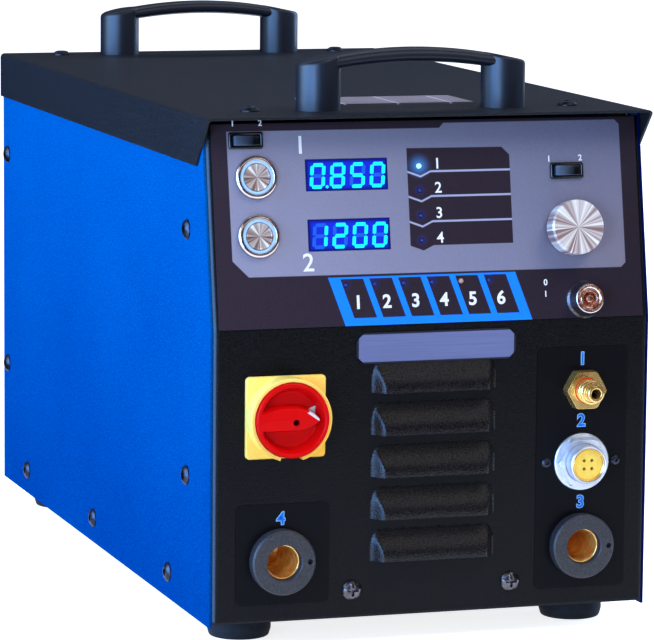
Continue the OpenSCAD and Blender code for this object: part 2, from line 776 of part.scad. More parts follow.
// Push-buttons: bezel and barrel through the fascia, with a sliding cap
button_depth = 22;
cap_depth = 14;
cap_sink = 0.4;
module button_housings() {
    color(chrome) for (s = button_s) on_fascia(-button_x, s) difference() {
        union() {
            translate([0, 0, overlay_t]) cylinder(h = bezel_h * 0.5, r = bezel_r);
            translate([0, 0, overlay_t + bezel_h * 0.5])
                cylinder(h = bezel_h * 0.5, r1 = bezel_r, r2 = bezel_r - bezel_h * 0.5);
            translate([0, 0, -button_depth]) cylinder(h = button_depth + overlay_t, r = button_barrel_r);
        }
        translate([0, 0, overlay_t + bezel_h - cap_depth - button_travel - slide_fit])
            cylinder(h = button_depth + bezel_h, r = cap_r + slide_fit);
    }
}
module button_cap(s) {
    color(chrome) on_fascia(-button_x, s)
        translate([0, 0, overlay_t + bezel_h - cap_sink - cap_depth + slide_fit]) {
            cylinder(h = cap_depth - cap_r / 16, r = cap_r);
            translate([0, 0, cap_depth - cap_r / 16])
                cylinder(h = cap_r / 16, r1 = cap_r, r2 = cap_r * 0.88);
        }
}
module upper_button_cap() { button_cap(button_s[1]); }
module lower_button_cap() { button_cap(button_s[0]); }

// Rocker switches: frame in the fascia, with a paddle that swings on side pins
rocker_lip = 0.7;
rocker_rim = 1.5;
rocker_wall = 1.1;
rocker_depth = 13;
rocker_pin_r = 1;
rocker_axis_z = -1;
module rocker_frames() {
    well_w = rocker_w - 2 * rocker_lip - 2 * rocker_wall;
    well_h = rocker_h - 2 * rocker_lip - 2 * rocker_wall;
    color(black_plastic) for (at = rocker_at) on_fascia(at[0], at[1]) difference() {
        union() {
            translate([0, 0, overlay_t]) linear_extrude(rocker_rim) square([rocker_w, rocker_h], center = true);
            translate([0, 0, -rocker_depth]) linear_extrude(rocker_depth + overlay_t)
                square([rocker_w - 2 * rocker_lip, rocker_h - 2 * rocker_lip], center = true);
        }
        translate([0, 0, -rocker_depth + rocker_wall]) linear_extrude(rocker_depth + 3 * rocker_rim)
            square([well_w, well_h], center = true);
        translate([0, 0, rocker_axis_z]) rotate([90, 0, 0])
            cylinder(h = well_h + 2 * rocker_wall - 2 * pin_skin, r = rocker_pin_r + shaft_fit, center = true);
    }
}
pin_skin = 0.3;
paddle_low = 5;
paddle_tip = 4.4;
paddle_dip = 3.2;
module rocker(at) {
    swing_r = rocker_w / 2 - rocker_lip - rocker_wall - slide_fit;
    paddle_h = rocker_h - 2 * rocker_lip - 2 * rocker_wall - 2 * slide_fit;
    color(black_plastic) on_fascia(at[0], at[1]) translate([0, 0, rocker_axis_z]) {
        rotate([0, rocker_tilt, 0]) rotate([90, 0, 0]) linear_extrude(paddle_h, center = true)
            intersection() {
                circle(swing_r, $fn = 64);
                polygon([[-swing_r, -paddle_low], [swing_r, -paddle_low], [swing_r, paddle_tip],
                    [0, paddle_dip], [-swing_r, paddle_tip]]);
            }
        rotate([90, 0, 0]) cylinder(h = paddle_h + 2 * slide_fit + 2 * rocker_wall - 4 * pin_skin,
            r = rocker_pin_r, center = true);
    }
}
module left_rocker() { rocker(rocker_at[0]); }
module right_rocker() { rocker(rocker_at[1]); }

// Dial: encoder behind the fascia, push plunger inside it, turning shaft and knob
bush_r = 4.5;
bush_h = 4;
encoder_side = 14;
encoder_depth = 13;
encoder_skin = 1.5;
encoder_nut_h = 2;
plunger_r = 4;
plunger_h = 2;
plunger_floor = encoder_depth + sheet - encoder_skin;
shaft_end = plunger_floor - slide_fit - dial_travel - plunger_h;
knob_gap = dial_travel + 0.5;
module encoder_body() {
    color(zinc) on_fascia(dial_at[0], dial_at[1]) difference() {
        union() {
            translate([0, 0, -sheet - encoder_depth]) linear_extrude(encoder_depth)
                square(encoder_side, center = true);
            translate([0, 0, -sheet - over]) cylinder(h = sheet + over + overlay_t + bush_h, r = bush_r);
        }
        translate([0, 0, -plunger_floor])
            cylinder(h = plunger_floor + bush_h + over, r = dial_shaft_r + shaft_fit);
        translate([0, 0, -plunger_floor])
            cylinder(h = plunger_floor - sheet - encoder_skin, r = plunger_r + slide_fit);
    }
}
module encoder_plunger() {
    color(zinc) on_fascia(dial_at[0], dial_at[1]) translate([0, 0, -shaft_end - plunger_h])
        cylinder(h = plunger_h, r = plunger_r);
}
shaft_top = overlay_t + knob_gap + dial_h - 3;
module dial_shaft() {
    color(zinc) on_fascia(dial_at[0], dial_at[1]) translate([0, 0, -shaft_end])
        cylinder(h = shaft_end + shaft_top, r = dial_shaft_r);
}
module dial_knob() {
    rim = 1.2;
    color(chrome) on_fascia(dial_at[0], dial_at[1]) translate([0, 0, overlay_t + knob_gap]) difference() {
        union() {
            cylinder(h = dial_h - rim, r = dial_r);
            translate([0, 0, dial_h - rim]) cylinder(h = rim, r1 = dial_r, r2 = dial_r - rim);
        }
        translate([0, 0, -over]) cylinder(h = over + bush_h + overlay_t, r = dial_r - 3 * rim);
        translate([0, 0, -over]) cylinder(h = over + shaft_top - overlay_t - knob_gap, r = dial_shaft_r);
    }
}

// Key switch: bezel and barrel through the fascia, with a turning lock barrel
key_barrel_r = 8;
key_face_r = 9.6;
key_depth = 24;
key_rotor_len = 18;
key_groove = 5;
module key_switch_body() {
    color(chrome) on_fascia(key_at[0], key_at[1]) difference() {
        union() {
            translate([0, 0, overlay_t]) cylinder(h = key_bezel_h, r1 = key_bezel_r, r2 = key_face_r);
            translate([0, 0, -key_depth]) cylinder(h = key_depth + overlay_t, r = key_barrel_r);
        }
        translate([0, 0, overlay_t + key_bezel_h - key_rotor_len])
            cylinder(h = key_rotor_len + over, r = key_rotor_r + shaft_fit);
    }
}
module key_rotor() {
    color(zinc) on_fascia(key_at[0], key_at[1]) translate([0, 0, overlay_t + key_bezel_h - key_rotor_len])
        difference() {
            cylinder(h = key_rotor_len, r = key_rotor_r);
            translate([0, 0, key_rotor_len - key_groove]) difference() {
                cylinder(h = key_groove + over, r = key_rotor_r * 0.68);
                cylinder(h = key_groove, r = key_rotor_r * 0.4);
            }
            translate([0, key_rotor_r * 0.7, key_rotor_len])
                cube([key_rotor_r * 0.3, key_rotor_r * 0.4, key_groove], center = true);
        }
}

// Main switch: yellow plate with a collar, red turning handle, shaft and contact block
plate_corner = 4;
collar_share = 0.7;
collar_gap = 0.4;
collar_wall = 2.2;
collar_slot = 14;
isolator_lift = 4;
isolator_depth = 44;
isolator_side = 44;
isolator_rim = 3;
handle_z = plate_t + isolator_lift;
shaft_depth = 28;
module isolator_plate() {
    bore_r = isolator_r + collar_gap;
    collar_rise = isolator_lift + isolator_h * collar_share;
    color("#f2c230") on_front(-isolator_x, isolator_up) difference() {
        union() {
            linear_extrude(plate_t) rounded_rect(plate_side, plate_side, plate_corner);
            cylinder(h = plate_t + collar_rise, r = bore_r + collar_wall);
        }
        translate([0, 0, plate_t]) cylinder(h = collar_rise + over, r = bore_r);
        translate([-collar_slot / 2, -plate_side, plate_t]) cube([collar_slot, plate_side, collar_rise + over]);
        translate([0, 0, -over]) cylinder(h = plate_t + 2 * over, r = isolator_shaft_r + shaft_fit);
    }
}
// Lens-shaped grip bar, seen from the front
module grip_bar() {
    reach = isolator_r - isolator_rim;
    bow = (reach * reach + grip_half * grip_half) / (2 * grip_half);
    intersection_for (sy = [-1, 1]) translate([0, sy * (bow - grip_half)]) circle(bow, $fn = 96);
}
module isolator_handle() {
    color("#d21414") on_front(-isolator_x, isolator_up) translate([0, 0, handle_z]) difference() {
        cylinder(h = isolator_h, r = isolator_r);
        translate([0, 0, isolator_h * 0.35]) linear_extrude(isolator_h) difference() {
            circle(isolator_r - isolator_rim);
            grip_bar();
        }
    }
}
module isolator_shaft() {
    color(zinc) on_front(-isolator_x, isolator_up) translate([0, 0, -shaft_depth])
        cylinder(h = shaft_depth + handle_z, r = isolator_shaft_r);
}
module isolator_block() {
    color("#3a3d44") on_front(-isolator_x, isolator_up) difference() {
        translate([0, 0, -sheet - isolator_depth]) linear_extrude(isolator_depth)
            square(isolator_side, center = true);
        translate([0, 0, -shaft_depth]) cylinder(h = shaft_depth, r = isolator_shaft_r + shaft_fit);
    }
}

// Weld sockets: insulating collars through the panel, brass sleeves inside them
spigot_depth = 12;
sleeve_gap = 0.1;
sleeve_sink = 4.5;
collar_edge = 1;
lip_gap = 0.6;
lip_flare = 0.8;
sleeve_floor = 3;
stud_r = 6;
stud_len = 22;
sleeve_r = socket_bore_r + socket_wall;
sleeve_back = socket_bore_d + sleeve_floor + sleeve_sink - collar_h;
module socket_collars() {
    color(black_plastic) for (sx = [-1, 1]) on_front(sx * socket_x, socket_up) difference() {
        union() {
            translate([0, 0, label_t]) cylinder(h = collar_h - collar_edge - label_t, r = collar_r);
            translate([0, 0, collar_h - collar_edge])
                cylinder(h = collar_edge, r1 = collar_r, r2 = collar_r - collar_edge);
            translate([0, 0, -spigot_depth]) cylinder(h = spigot_depth + label_t, r = spigot_r);
        }
        translate([0, 0, -spigot_depth - over])
            cylinder(h = spigot_depth + over + collar_h - sleeve_sink + sleeve_gap, r = sleeve_r + sleeve_gap);
        translate([0, 0, collar_h - sleeve_sink])
            cylinder(h = sleeve_sink + over, r1 = socket_bore_r + lip_gap, r2 = socket_bore_r + lip_gap + lip_flare);
        translate([(sleeve_r + collar_r) / 2, 0, collar_h / 3]) cylinder(h = collar_h, r = key_hole_r);
    }
}
key_hole_r = 1.5;
module socket_contact(sx) {
    color(brass) on_front(sx * socket_x, socket_up) difference() {
        union() {
            translate([0, 0, -sleeve_back]) cylinder(h = sleeve_back + collar_h - sleeve_sink, r = sleeve_r);
            translate([0, 0, -sleeve_back - stud_len]) cylinder(h = stud_len, r = stud_r);
        }
        translate([0, 0, collar_h - sleeve_sink - socket_bore_d])
            cylinder(h = socket_bore_d + over, r = socket_bore_r);
    }
}
module ground_socket_contact() { socket_contact(-1); }
module gun_socket_contact() { socket_contact(1); }

// Nuts that clamp the controls and fittings from inside, and the dial's nut outside
nut_h = 5;
nut_wall = 3;
module lock_nuts() {
    color(zinc) {
        for (s = button_s) on_fascia(-button_x, s) translate([0, 0, -sheet])
            lock_nut(2 * button_barrel_r + nut_wall, button_barrel_r + sleeve_gap, nut_h);
        on_fascia(dial_at[0], dial_at[1]) translate([0, 0, overlay_t + encoder_nut_h])
            lock_nut(2 * bush_r + nut_wall, bush_r + sleeve_gap, encoder_nut_h);
        on_fascia(key_at[0], key_at[1]) translate([0, 0, -sheet])
            lock_nut(2 * key_barrel_r + nut_wall, key_barrel_r + sleeve_gap, nut_h);
        for (sx = [-1, 1]) on_front(sx * socket_x, socket_up) translate([0, 0, -sheet])
            lock_nut(2 * spigot_r + nut_wall, spigot_r + sleeve_gap, nut_h);
        on_front(socket_x, gas_up) translate([0, 0, -sheet])
            lock_nut(2 * gas_thread_r + nut_wall, gas_thread_r + sleeve_gap, nut_h);
        on_rear(socket_x, gas_up) translate([0, 0, -sheet])
            lock_nut(2 * gas_thread_r + nut_wall, gas_thread_r + sleeve_gap, nut_h);
        on_front(socket_x, plug_up) translate([0, 0, -sheet])
            lock_nut(2 * plug_spigot_r + nut_wall, plug_spigot_r + sleeve_gap, nut_h);
        on_rear(gland_x, gland_up) translate([0, 0, -sheet])
            lock_nut(2 * gland_thread_r + nut_wall, gland_thread_r + sleeve_gap, nut_h);
    }
}

// Gas fitting: hexagon, necked nose and threaded tail, one in front and one behind
gas_thread_r = 8;
gas_tail = 26;
gas_groove = 1;
module gas_fitting_body(seat) {
    difference() {
        union() {
            translate([0, 0, seat]) cylinder(h = gas_hex_len, r = gas_hex / sqrt(3), $fn = 6);
            translate([0, 0, seat + gas_hex_len]) difference() {
                cylinder(h = gas_neck_len, r = gas_neck_r);
                translate([0, 0, gas_neck_len * 0.55]) difference() {
                    cylinder(h = 2 * gas_groove, r = gas_neck_r + over);
                    cylinder(h = 2 * gas_groove, r = gas_neck_r - gas_groove);
                }
            }
            translate([0, 0, seat + gas_hex_len + gas_neck_len])
                cylinder(h = gas_nose_len, r = gas_nose_r);
            translate([0, 0, -gas_tail]) cylinder(h = gas_tail + seat, r = gas_thread_r);
        }
        translate([0, 0, -gas_tail - over]) cylinder(h = gas_tail + front_reach + 2 * over, r = gas_bore_r);
    }
}
module gas_fittings() {
    color(brass) {
        on_front(socket_x, gas_up) gas_fitting_body(label_t);
        on_rear(socket_x, gas_up) gas_fitting_body(0);
    }
}

// Control connector: flanged barrel, hexagon nut and insulating insert with pin holes
plug_spigot_r = 12;
plug_tail = 20;
plug_flange_t = 1.8;
plug_len = 14;
plug_nut_flats = 28;
plug_nut_h = 4;
insert_sink = 2;
pin_pitch = 5;
pin_r = 1;
module connector_shell() {
    color(zinc) on_front(socket_x, plug_up) difference() {
        union() {
            translate([0, 0, label_t]) cylinder(h = plug_flange_t, r = plug_flange_r);
            translate([0, 0, label_t]) cylinder(h = plug_len, r = plug_barrel_r);
            translate([0, 0, -plug_tail]) cylinder(h = plug_tail + label_t, r = plug_spigot_r);
        }
        translate([0, 0, -plug_tail - over])
            cylinder(h = plug_tail + plug_len + 2 * over, r = plug_barrel_r - plug_wall);
    }
}
module connector_nut() {
    color(zinc) on_front(socket_x, plug_up) translate([0, 0, label_t + plug_flange_t + plug_nut_h])
        lock_nut(plug_nut_flats, plug_barrel_r + sleeve_gap, plug_nut_h);
}
module connector_insert() {
    insert_r = plug_barrel_r - plug_wall - sleeve_gap;
    depth = plug_tail + label_t + plug_len - insert_sink;
    color("#e8b84a") on_front(socket_x, plug_up) translate([0, 0, -plug_tail]) difference() {
        cylinder(h = depth, r = insert_r);
        for (sx = [-1, 1], sy = [-1, 1])
            translate([sx * pin_pitch / 2, sy * pin_pitch / 2, depth - 2 * pin_pitch])
                cylinder(h = 2 * pin_pitch + over, r = pin_r);
        translate([insert_r - pin_r, -pin_r, depth - pin_pitch])
            cube([2 * pin_r, 2 * pin_r, 2 * pin_pitch]);
    }
}

// Stick-on labels behind the sockets, and the bare plates
label_side = 58;
label_corner = 4;
ground_label_h = 0.3477 * lower_h;
gun_label_h = 0.8477 * lower_h;
label_drop = 0.1512 * lower_h;
label_shift = 1;
module socket_labels() {
    color("#1d1e24") difference() {
        union() {
            on_front(-socket_x + label_shift, socket_up - label_drop + ground_label_h / 2)
                linear_extrude(label_t)
                rounded_rect(label_side, ground_label_h, label_corner);
            on_front(socket_x, socket_up - label_drop + gun_label_h / 2)
                linear_extrude(label_t)
                rounded_rect(label_side, gun_label_h, label_corner);
        }
        lower_cuts(sheet);
    }
}
name_w = 0.36413 * body_w;
name_h = 0.1069 * lower_h;
name_chamfer = 5;
name_t = 0.8;
name_up = 0.92414 * lower_h;
name_x = 1.4;
spec_w = 100;
spec_d = 48;
spec_y = 98;
module blank_plates() {
    color("#8a8fb0") {
        on_front(name_x, name_up) linear_extrude(name_t) intersection() {
            square([name_w, name_h], center = true);
            rotate(45) square((name_w + name_h) / sqrt(2) - name_chamfer * sqrt(2), center = true);
        }
        translate([-spec_w / 2, front_y + spec_y - spec_d / 2, cover_z]) cube([spec_w, spec_d, name_t]);
    }
}

// Cooling fan inside the rear panel, its wire guard outside
fan_wall = 2.5;
fan_hole_inset = 7.5;
fan_round = 5;
fan_throat_r = fan_side / 2 - fan_wall;
fan_hub_r = 20;
fan_clear = 2;
fan_axle_r = 2;
fan_blades = 7;
blade_t = 1.6;
blade_pitch = 38;
fan_corner = fan_side / 2 - fan_hole_inset;
arm_t = 4;
module at_fan_corners() {
    for (sx = [-1, 1], sy = [-1, 1]) translate([sx * fan_corner, sy * fan_corner, 0]) children();
}
module fan_frame() {
    color(black_plastic) on_rear(-fan_x, fan_up) translate([0, 0, -sheet - fan_t]) difference() {
        union() {
            linear_extrude(fan_t) difference() {
                rounded_rect(fan_side, fan_side, fan_round);
                circle(fan_throat_r, $fn = 96);
            }
            cylinder(h = arm_t, r = fan_hub_r);
            for (a = [0, 90]) rotate(a) translate([-fan_throat_r - over, -arm_t, 0])
                cube([2 * fan_throat_r + 2 * over, 2 * arm_t, arm_t]);
        }
        translate([0, 0, -over]) cylinder(h = arm_t + 2 * over, r = fan_axle_r + shaft_fit);
        translate([0, 0, -over]) at_fan_corners() cylinder(h = fan_t + 2 * over, r = hole_r);
    }
}
module fan_rotor() {
    hub_h = fan_t - arm_t - 2 * fan_clear;
    reach = fan_throat_r - fan_clear;
    color("#26282e") on_rear(-fan_x, fan_up) translate([0, 0, -sheet - fan_t + arm_t + fan_clear]) {
        cylinder(h = hub_h, r = fan_hub_r);
        translate([0, 0, -arm_t - fan_clear]) cylinder(h = arm_t + fan_clear, r = fan_axle_r);
        intersection() {
            cylinder(h = hub_h, r = reach);
            for (i = [0:fan_blades - 1]) rotate(i * 360 / fan_blades) translate([0, 0, hub_h / 2])
                rotate([blade_pitch, 0, 0]) translate([fan_hub_r - blade_t, -hub_h, -blade_t / 2])
                    cube([reach, 2 * hub_h, blade_t]);
        }
    }
}
guard_wire_r = 1.1;
guard_rings = 5;
guard_inset = 6;
module fan_guard() {
    pitch = (fan_throat_r - guard_inset) / guard_rings;
    color(zinc) on_rear(-fan_x, fan_up) translate([0, 0, guard_wire_r]) {
        for (i = [1:guard_rings]) rotate_extrude() translate([i * pitch, 2 * guard_wire_r])
            circle(guard_wire_r, $fn = 16);
        for (a = [45, 135]) rotate(a) rotate([0, 90, 0])
            cylinder(h = 2 * fan_corner * sqrt(2) - 2 * shank_r, r = guard_wire_r, center = true, $fn = 16);
        at_fan_corners() translate([0, 0, -guard_wire_r]) difference() {
            cylinder(h = 2 * guard_wire_r, r = head_r);
            translate([0, 0, -over]) cylinder(h = 4 * guard_wire_r + over, r = hole_r);
        }
    }
}
module fan_screws() {
    color(zinc) on_rear(-fan_x, fan_up) at_fan_corners() translate([0, 0, 2 * guard_wire_r])
        button_screw(sheet + fan_t + 2 * guard_wire_r);
}

// Power works: transformer, capacitors, busbars, deck, heat sink and modules
core_y = 80;
limb = 28;
module transformer_core() {
    color("#6d6f75") translate([-core_w / 2, core_y, panel_z]) difference() {
        cube([core_w, core_d, core_h]);
        for (sx = [0, 1]) translate([limb / 2 + sx * (core_w / 2 - limb / 4), -over, limb / 2])
            cube([core_w / 2 - limb * 0.75, core_d + 2 * over, core_h - limb]);
    }
}
winding_gap = 0.5;
winding_w = 18;
module transformer_windings() {
    color(copper) translate([0, core_y + core_d / 2, panel_z + limb / 2 + winding_gap])
        linear_extrude(core_h - limb - 2 * winding_gap) difference() {
            rounded_rect(limb / 2 + 2 * winding_w, core_d + 2 * winding_w, winding_w * 0.8);
            square([limb / 2 + 2 * winding_gap, core_d + 2 * winding_gap], center = true);
        }
}
can_start = 150;
can_y = front_y + can_start;
terminal_r = 5;
terminal_h = 5;
can_pitch = 66;
module capacitors() {
    color("#2a5b9a") for (sx = [-1, 1], i = [0, 1])
        translate([sx * can_pitch / 2, can_y + i * can_pitch, panel_z]) {
            cylinder(h = can_h, r = can_r);
            for (tx = [-1, 1]) translate([tx * can_r * 0.4, 0, can_h])
                cylinder(h = terminal_h, r = terminal_r);
        }
}
bar_t = 4;
bar_w = 24;
bar_len = 90;
module output_busbars() {
    color(copper) for (sx = [-1, 1]) on_front(sx * socket_x, socket_up)
        translate([0, 0, -sleeve_back - bar_t]) difference() {
            union() {
                translate([-bar_w / 2, -bar_w / 2, 0]) cube([bar_w, bar_w, bar_t]);
                translate([-bar_w / 2, -bar_w / 2 - bar_t, bar_t - bar_len]) cube([bar_w, bar_t, bar_len]);
            }
            translate([0, 0, -over]) cylinder(h = bar_t + 2 * over, r = stud_r + sleeve_gap);
        }
}
deck_start = 115;
deck_y = front_y + deck_start;
deck_z = panel_z + deck_up;
deck_margin = 20;
module deck() {
    color(zinc) roof_channel(deck_w, deck_up, deck_y, deck_len, deck_z);
}
sink_w = 0.54348 * body_w;
sink_len = 240;
sink_base = 8;
fin_h = 45;
fin_t = 2;
fin_len = 150;
sink_x = -0.12681 * body_w;
module heatsink() {
    pitch = (sink_w - fin_t) / (fin_n - 1);
    color("#c4c8cc") translate([sink_x - sink_w / 2, deck_y + deck_margin, deck_z]) {
        cube([sink_w, sink_len, sink_base]);
        for (i = [0:fin_n - 1]) translate([i * pitch, sink_len - fin_len, 0])
            cube([fin_t, fin_len, sink_base + fin_h]);
    }
}
module_gap = 10;
module_h = 22;
module power_modules() {
    side = sink_w / 2 - 1.5 * module_gap;
    color("#34363c") for (sx = [-1, 1])
        translate([sink_x + sx * sink_w / 4 - side / 2, deck_y + deck_margin + module_gap, deck_z + sink_base])
            cube([side, sink_len - fin_len - 2.5 * module_gap, module_h]);
}

// Gas line: straight pipes from the front fitting to the valve and on to the rear fitting
valve_gap = 5.7;
valve_w = 2 * (deck_w / 2 - sheet - socket_x - valve_gap);
valve_len = 50;
pipe_r = 5;
module gas_valve() {
    axis_z = panel_z + gas_up;
    top = deck_z - sheet;
    color("#4a4d55") difference() {
        translate([socket_x - valve_w / 2, -valve_len / 2, axis_z - valve_w / 2])
            cube([valve_w, valve_len, top - axis_z + valve_w / 2]);
        translate([socket_x, -valve_len / 2 - over, axis_z]) rotate([-90, 0, 0])
            cylinder(h = valve_len + 2 * over, r = gas_bore_r);
    }
}
module gas_pipes() {
    len = body_d / 2 - gas_tail - valve_len / 2;
    color("#30343c") for (sy = [-1, 1])
        translate([socket_x, sy * (valve_len / 2 + len / 2), panel_z + gas_up]) rotate([90, 0, 0])
            difference() {
                cylinder(h = len, r = pipe_r, center = true);
                cylinder(h = len + 2 * over, r = gas_bore_r, center = true);
            }
}

// Gland for a supply lead in the rear panel
gland_x = -0.30797 * body_w;
gland_up = 45;
gland_thread_r = 10;
gland_bore_r = 6.5;
gland_hex_h = 7;
gland_flats = 24;
gland_nose_r = 11.5;
gland_cap = 4;
gland_taper = 3;
gland_tail = 10;
module cable_gland() {
    color(black_plastic) on_rear(gland_x, gland_up) difference() {
        union() {
            cylinder(h = gland_hex_h, r = gland_flats / sqrt(3), $fn = 6);
            cylinder(h = gland_reach - gland_cap, r = gland_nose_r);
            translate([0, 0, gland_reach - gland_cap])
                cylinder(h = gland_cap, r1 = gland_nose_r, r2 = gland_nose_r - gland_taper);
            translate([0, 0, -gland_tail]) cylinder(h = gland_tail, r = gland_thread_r);
        }
        translate([0, 0, -gland_tail - over])
            cylinder(h = gland_reach + gland_tail + 2 * over, r = gland_bore_r);
    }
}

base_tray();
front_panel();
rear_panel();
left_side_panel();
right_side_panel();
top_cover();
top_rails();
front_handle();
rear_handle();
cover_screws();
side_screws();
front_screws();
feet();
foot_screws();
fascia_overlay();
displays();
circuit_boards();
board_standoffs();
indicator_leds();
button_housings();
upper_button_cap();
lower_button_cap();
rocker_frames();
left_rocker();
right_rocker();
encoder_body();
encoder_plunger();
dial_shaft();
dial_knob();
key_switch_body();
key_rotor();
isolator_plate();
isolator_handle();
isolator_shaft();
isolator_block();
socket_collars();
ground_socket_contact();
gun_socket_contact();
lock_nuts();
gas_fittings();
connector_shell();
connector_nut();
connector_insert();
socket_labels();
blank_plates();
fan_frame();
fan_rotor();
fan_guard();
fan_screws();
transformer_core();
transformer_windings();
capacitors();
output_busbars();
deck();
heatsink();
power_modules();
gas_valve();
gas_pipes();
cable_gland();
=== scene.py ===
import math

import bmesh
import bpy
import numpy as np
from mathutils import Matrix, Vector


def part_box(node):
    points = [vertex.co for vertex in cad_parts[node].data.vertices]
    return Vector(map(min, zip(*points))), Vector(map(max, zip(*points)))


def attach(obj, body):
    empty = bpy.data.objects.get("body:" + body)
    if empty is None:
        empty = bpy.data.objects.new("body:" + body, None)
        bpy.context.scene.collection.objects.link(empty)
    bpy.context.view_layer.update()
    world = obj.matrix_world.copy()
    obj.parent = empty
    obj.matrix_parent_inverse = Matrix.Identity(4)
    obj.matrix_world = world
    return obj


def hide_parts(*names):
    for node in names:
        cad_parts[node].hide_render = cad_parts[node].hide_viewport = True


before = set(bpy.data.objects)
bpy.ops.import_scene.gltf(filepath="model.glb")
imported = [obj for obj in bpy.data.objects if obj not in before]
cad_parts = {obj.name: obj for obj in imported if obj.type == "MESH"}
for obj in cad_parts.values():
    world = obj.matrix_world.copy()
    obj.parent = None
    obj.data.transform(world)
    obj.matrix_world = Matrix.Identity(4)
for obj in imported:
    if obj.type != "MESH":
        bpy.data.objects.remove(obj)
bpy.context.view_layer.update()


# The case: tray, bent front panel, rear panel and cover of folded 1.5 mm steel, screwed together.
# They carry a black powder coat with a fine grain. The two flat sides are coated blue.
class Wire:
    """A shader value: arithmetic on it adds Math nodes, and add() adds a node of any other kind."""

    def __init__(self, tree, socket=None):
        self.tree = tree
        self.socket = socket

    def add(self, kind, settings, inputs, out=0):
        """A node of this kind: its settings are set first, then its sockets' values or links."""
        node = self.tree.nodes.new(kind)
        for name, value in settings.items():
            setattr(node, name, value)
        for key, value in inputs.items():
            if isinstance(value, Wire):
                self.tree.links.new(value.socket, node.inputs[key])
            else:
                node.inputs[key].default_value = value
        return Wire(self.tree, node.outputs[out])

    def maths(self, operation, other=0.0, third=0.0, clamp=False):
        """A Math node on this value and up to two others."""
        settings = {"operation": operation, "use_clamp": clamp}
        return self.add("ShaderNodeMath", settings, {0: self, 1: other, 2: third})

    def __add__(self, other):
        return self.maths("ADD", other)

    def __sub__(self, other):
        return self.maths("SUBTRACT", other)

    def __rsub__(self, other):
        return self.maths("MULTIPLY_ADD", -1.0, other)

    def __mul__(self, other):
        return self.maths("MULTIPLY", other)

    def __truediv__(self, other):
        return self.maths("DIVIDE", other)

    def __abs__(self):
        return self.maths("ABSOLUTE")

    __radd__ = __add__
    __rmul__ = __mul__

    def step(self, edge, soft):
        """Goes from 0 to 1 as this value passes edge, over the length soft, or down if soft is negative."""
        return self.maths("MULTIPLY_ADD", 1 / soft, 0.5 - edge / soft, True)

    def both(self, *others):
        """The smallest of some masks, so 1 only where all of them are 1."""
        found = self
        for other in others:
            found = found.maths("MINIMUM", other)
        return found

    def either(self, *others):
        """The largest of some masks, so 1 where any of them is 1."""
        found = self
        for other in others:
            found = found.maths("MAXIMUM", other)
        return found

    def along(self, axis):
        """The length of this vector along an axis."""
        return self.add("ShaderNodeVectorMath", {"operation": "DOT_PRODUCT"}, {0: self, 1: axis}, 1)

    def noise(self, scale, detail=2.0):
        """Smooth noise with about this many blobs to the metre."""
        return self.add("ShaderNodeTexNoise", {}, {"Vector": self, "Scale": scale, "Detail": detail})

    def stretched(self, scale):
        """This vector with each of its axes scaled."""
        return self.add("ShaderNodeVectorMath", {"operation": "MULTIPLY"}, {0: self, 1: scale})

    def blend(self, low, high):
        """A colour that goes from low to high as this value goes from 0 to 1."""
        return self.add("ShaderNodeMix", {"data_type": "RGBA"}, {0: self, 6: low, 7: high}, 2)

    def tint(self, low, high):
        """A blend between two 8-bit screen colours."""
        return self.blend(screen(*low), screen(*high))

    def soft_edges(self, radius):
        """A normal that rounds off the sharp edges of a mesh by this radius."""
        return self.add("ShaderNodeBevel", {"samples": 4}, {"Radius": radius})

    def bump(self, height, normal=None):
        """A normal from this value as a height field whose full range is that many metres."""
        inputs = {"Distance": height, "Height": self}
        if normal:
            inputs["Normal"] = normal
        return self.add("ShaderNodeBump", {}, inputs)

    def feed(self, socket):
        """Links this value to the material's shader."""
        self.tree.links.new(self.socket, self.tree.nodes["Principled BSDF"].inputs[socket])


def screen(red, green, blue):
    """The linear colour of an 8-bit screen colour, by the sRGB curve."""
    share = np.array([red, green, blue]) / 255
    linear = np.where(share < 0.04045, share / 12.92, ((share + 0.055) / 1.055) ** 2.4)
    return (*linear.tolist(), 1.0)


def finish(name, fixed):
    """A new material with these sockets of its shader set, and a wire of its Object coordinates."""
    material = bpy.data.materials.new(name)
    material.use_nodes = True
    shader = material.node_tree.nodes["Principled BSDF"]
    for socket, value in fixed.items():
        shader.inputs[socket].default_value = value
    return material, Wire(material.node_tree).add("ShaderNodeTexCoord", {}, {}, 3)


def dress(material, *names):
    """Gives CAD nodes a material."""
    for name in names:
        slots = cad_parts[name].data.materials
        slots.clear()
        slots.append(material)


def mottled(name, fixed, low, high, scale, detail=2.0, dull=(), edge=0.0):
    """A finish whose tone follows a noise, and its roughness too, where dull gives a level and a gain."""
    material, place = finish(name, fixed)
    cloud = place.noise(scale, detail)
    cloud.tint(low, high).feed("Base Color")
    if dull:
        (dull[0] + cloud * dull[1]).feed("Roughness")
    if edge:
        place.soft_edges(edge).feed("Normal")
    return material


def powder_coat(name, deep, pale, shine, dull, edge, painted_light_climb):
    """A powder coat: cloudy between two tones, with a fine grain, and paler upwards by the given climb to the
    metre, which is a painted gradient of light.
    """
    material, place = finish(name, {"Specular IOR Level": shine})
    grain = place.noise(1100.0)
    # The climb term paints light into the tone: paler upwards, or paler downwards where it is negative.
    cloud = place.noise(7.0) * 0.3 + grain.step(0.56, 0.4) * 0.7 + (place.along((0, 0, painted_light_climb)) - 0.15 * painted_light_climb)
    cloud.blend(deep, pale).feed("Base Color")
    (dull + grain * 0.3).feed("Roughness")
    grain.bump(0.00022, place.soft_edges(edge)).feed("Normal")
    return material


black_coat = powder_coat("black_coat", screen(4, 4, 7), screen(36, 39, 49), 0.2, 0.33, 0.0007, 0.0)
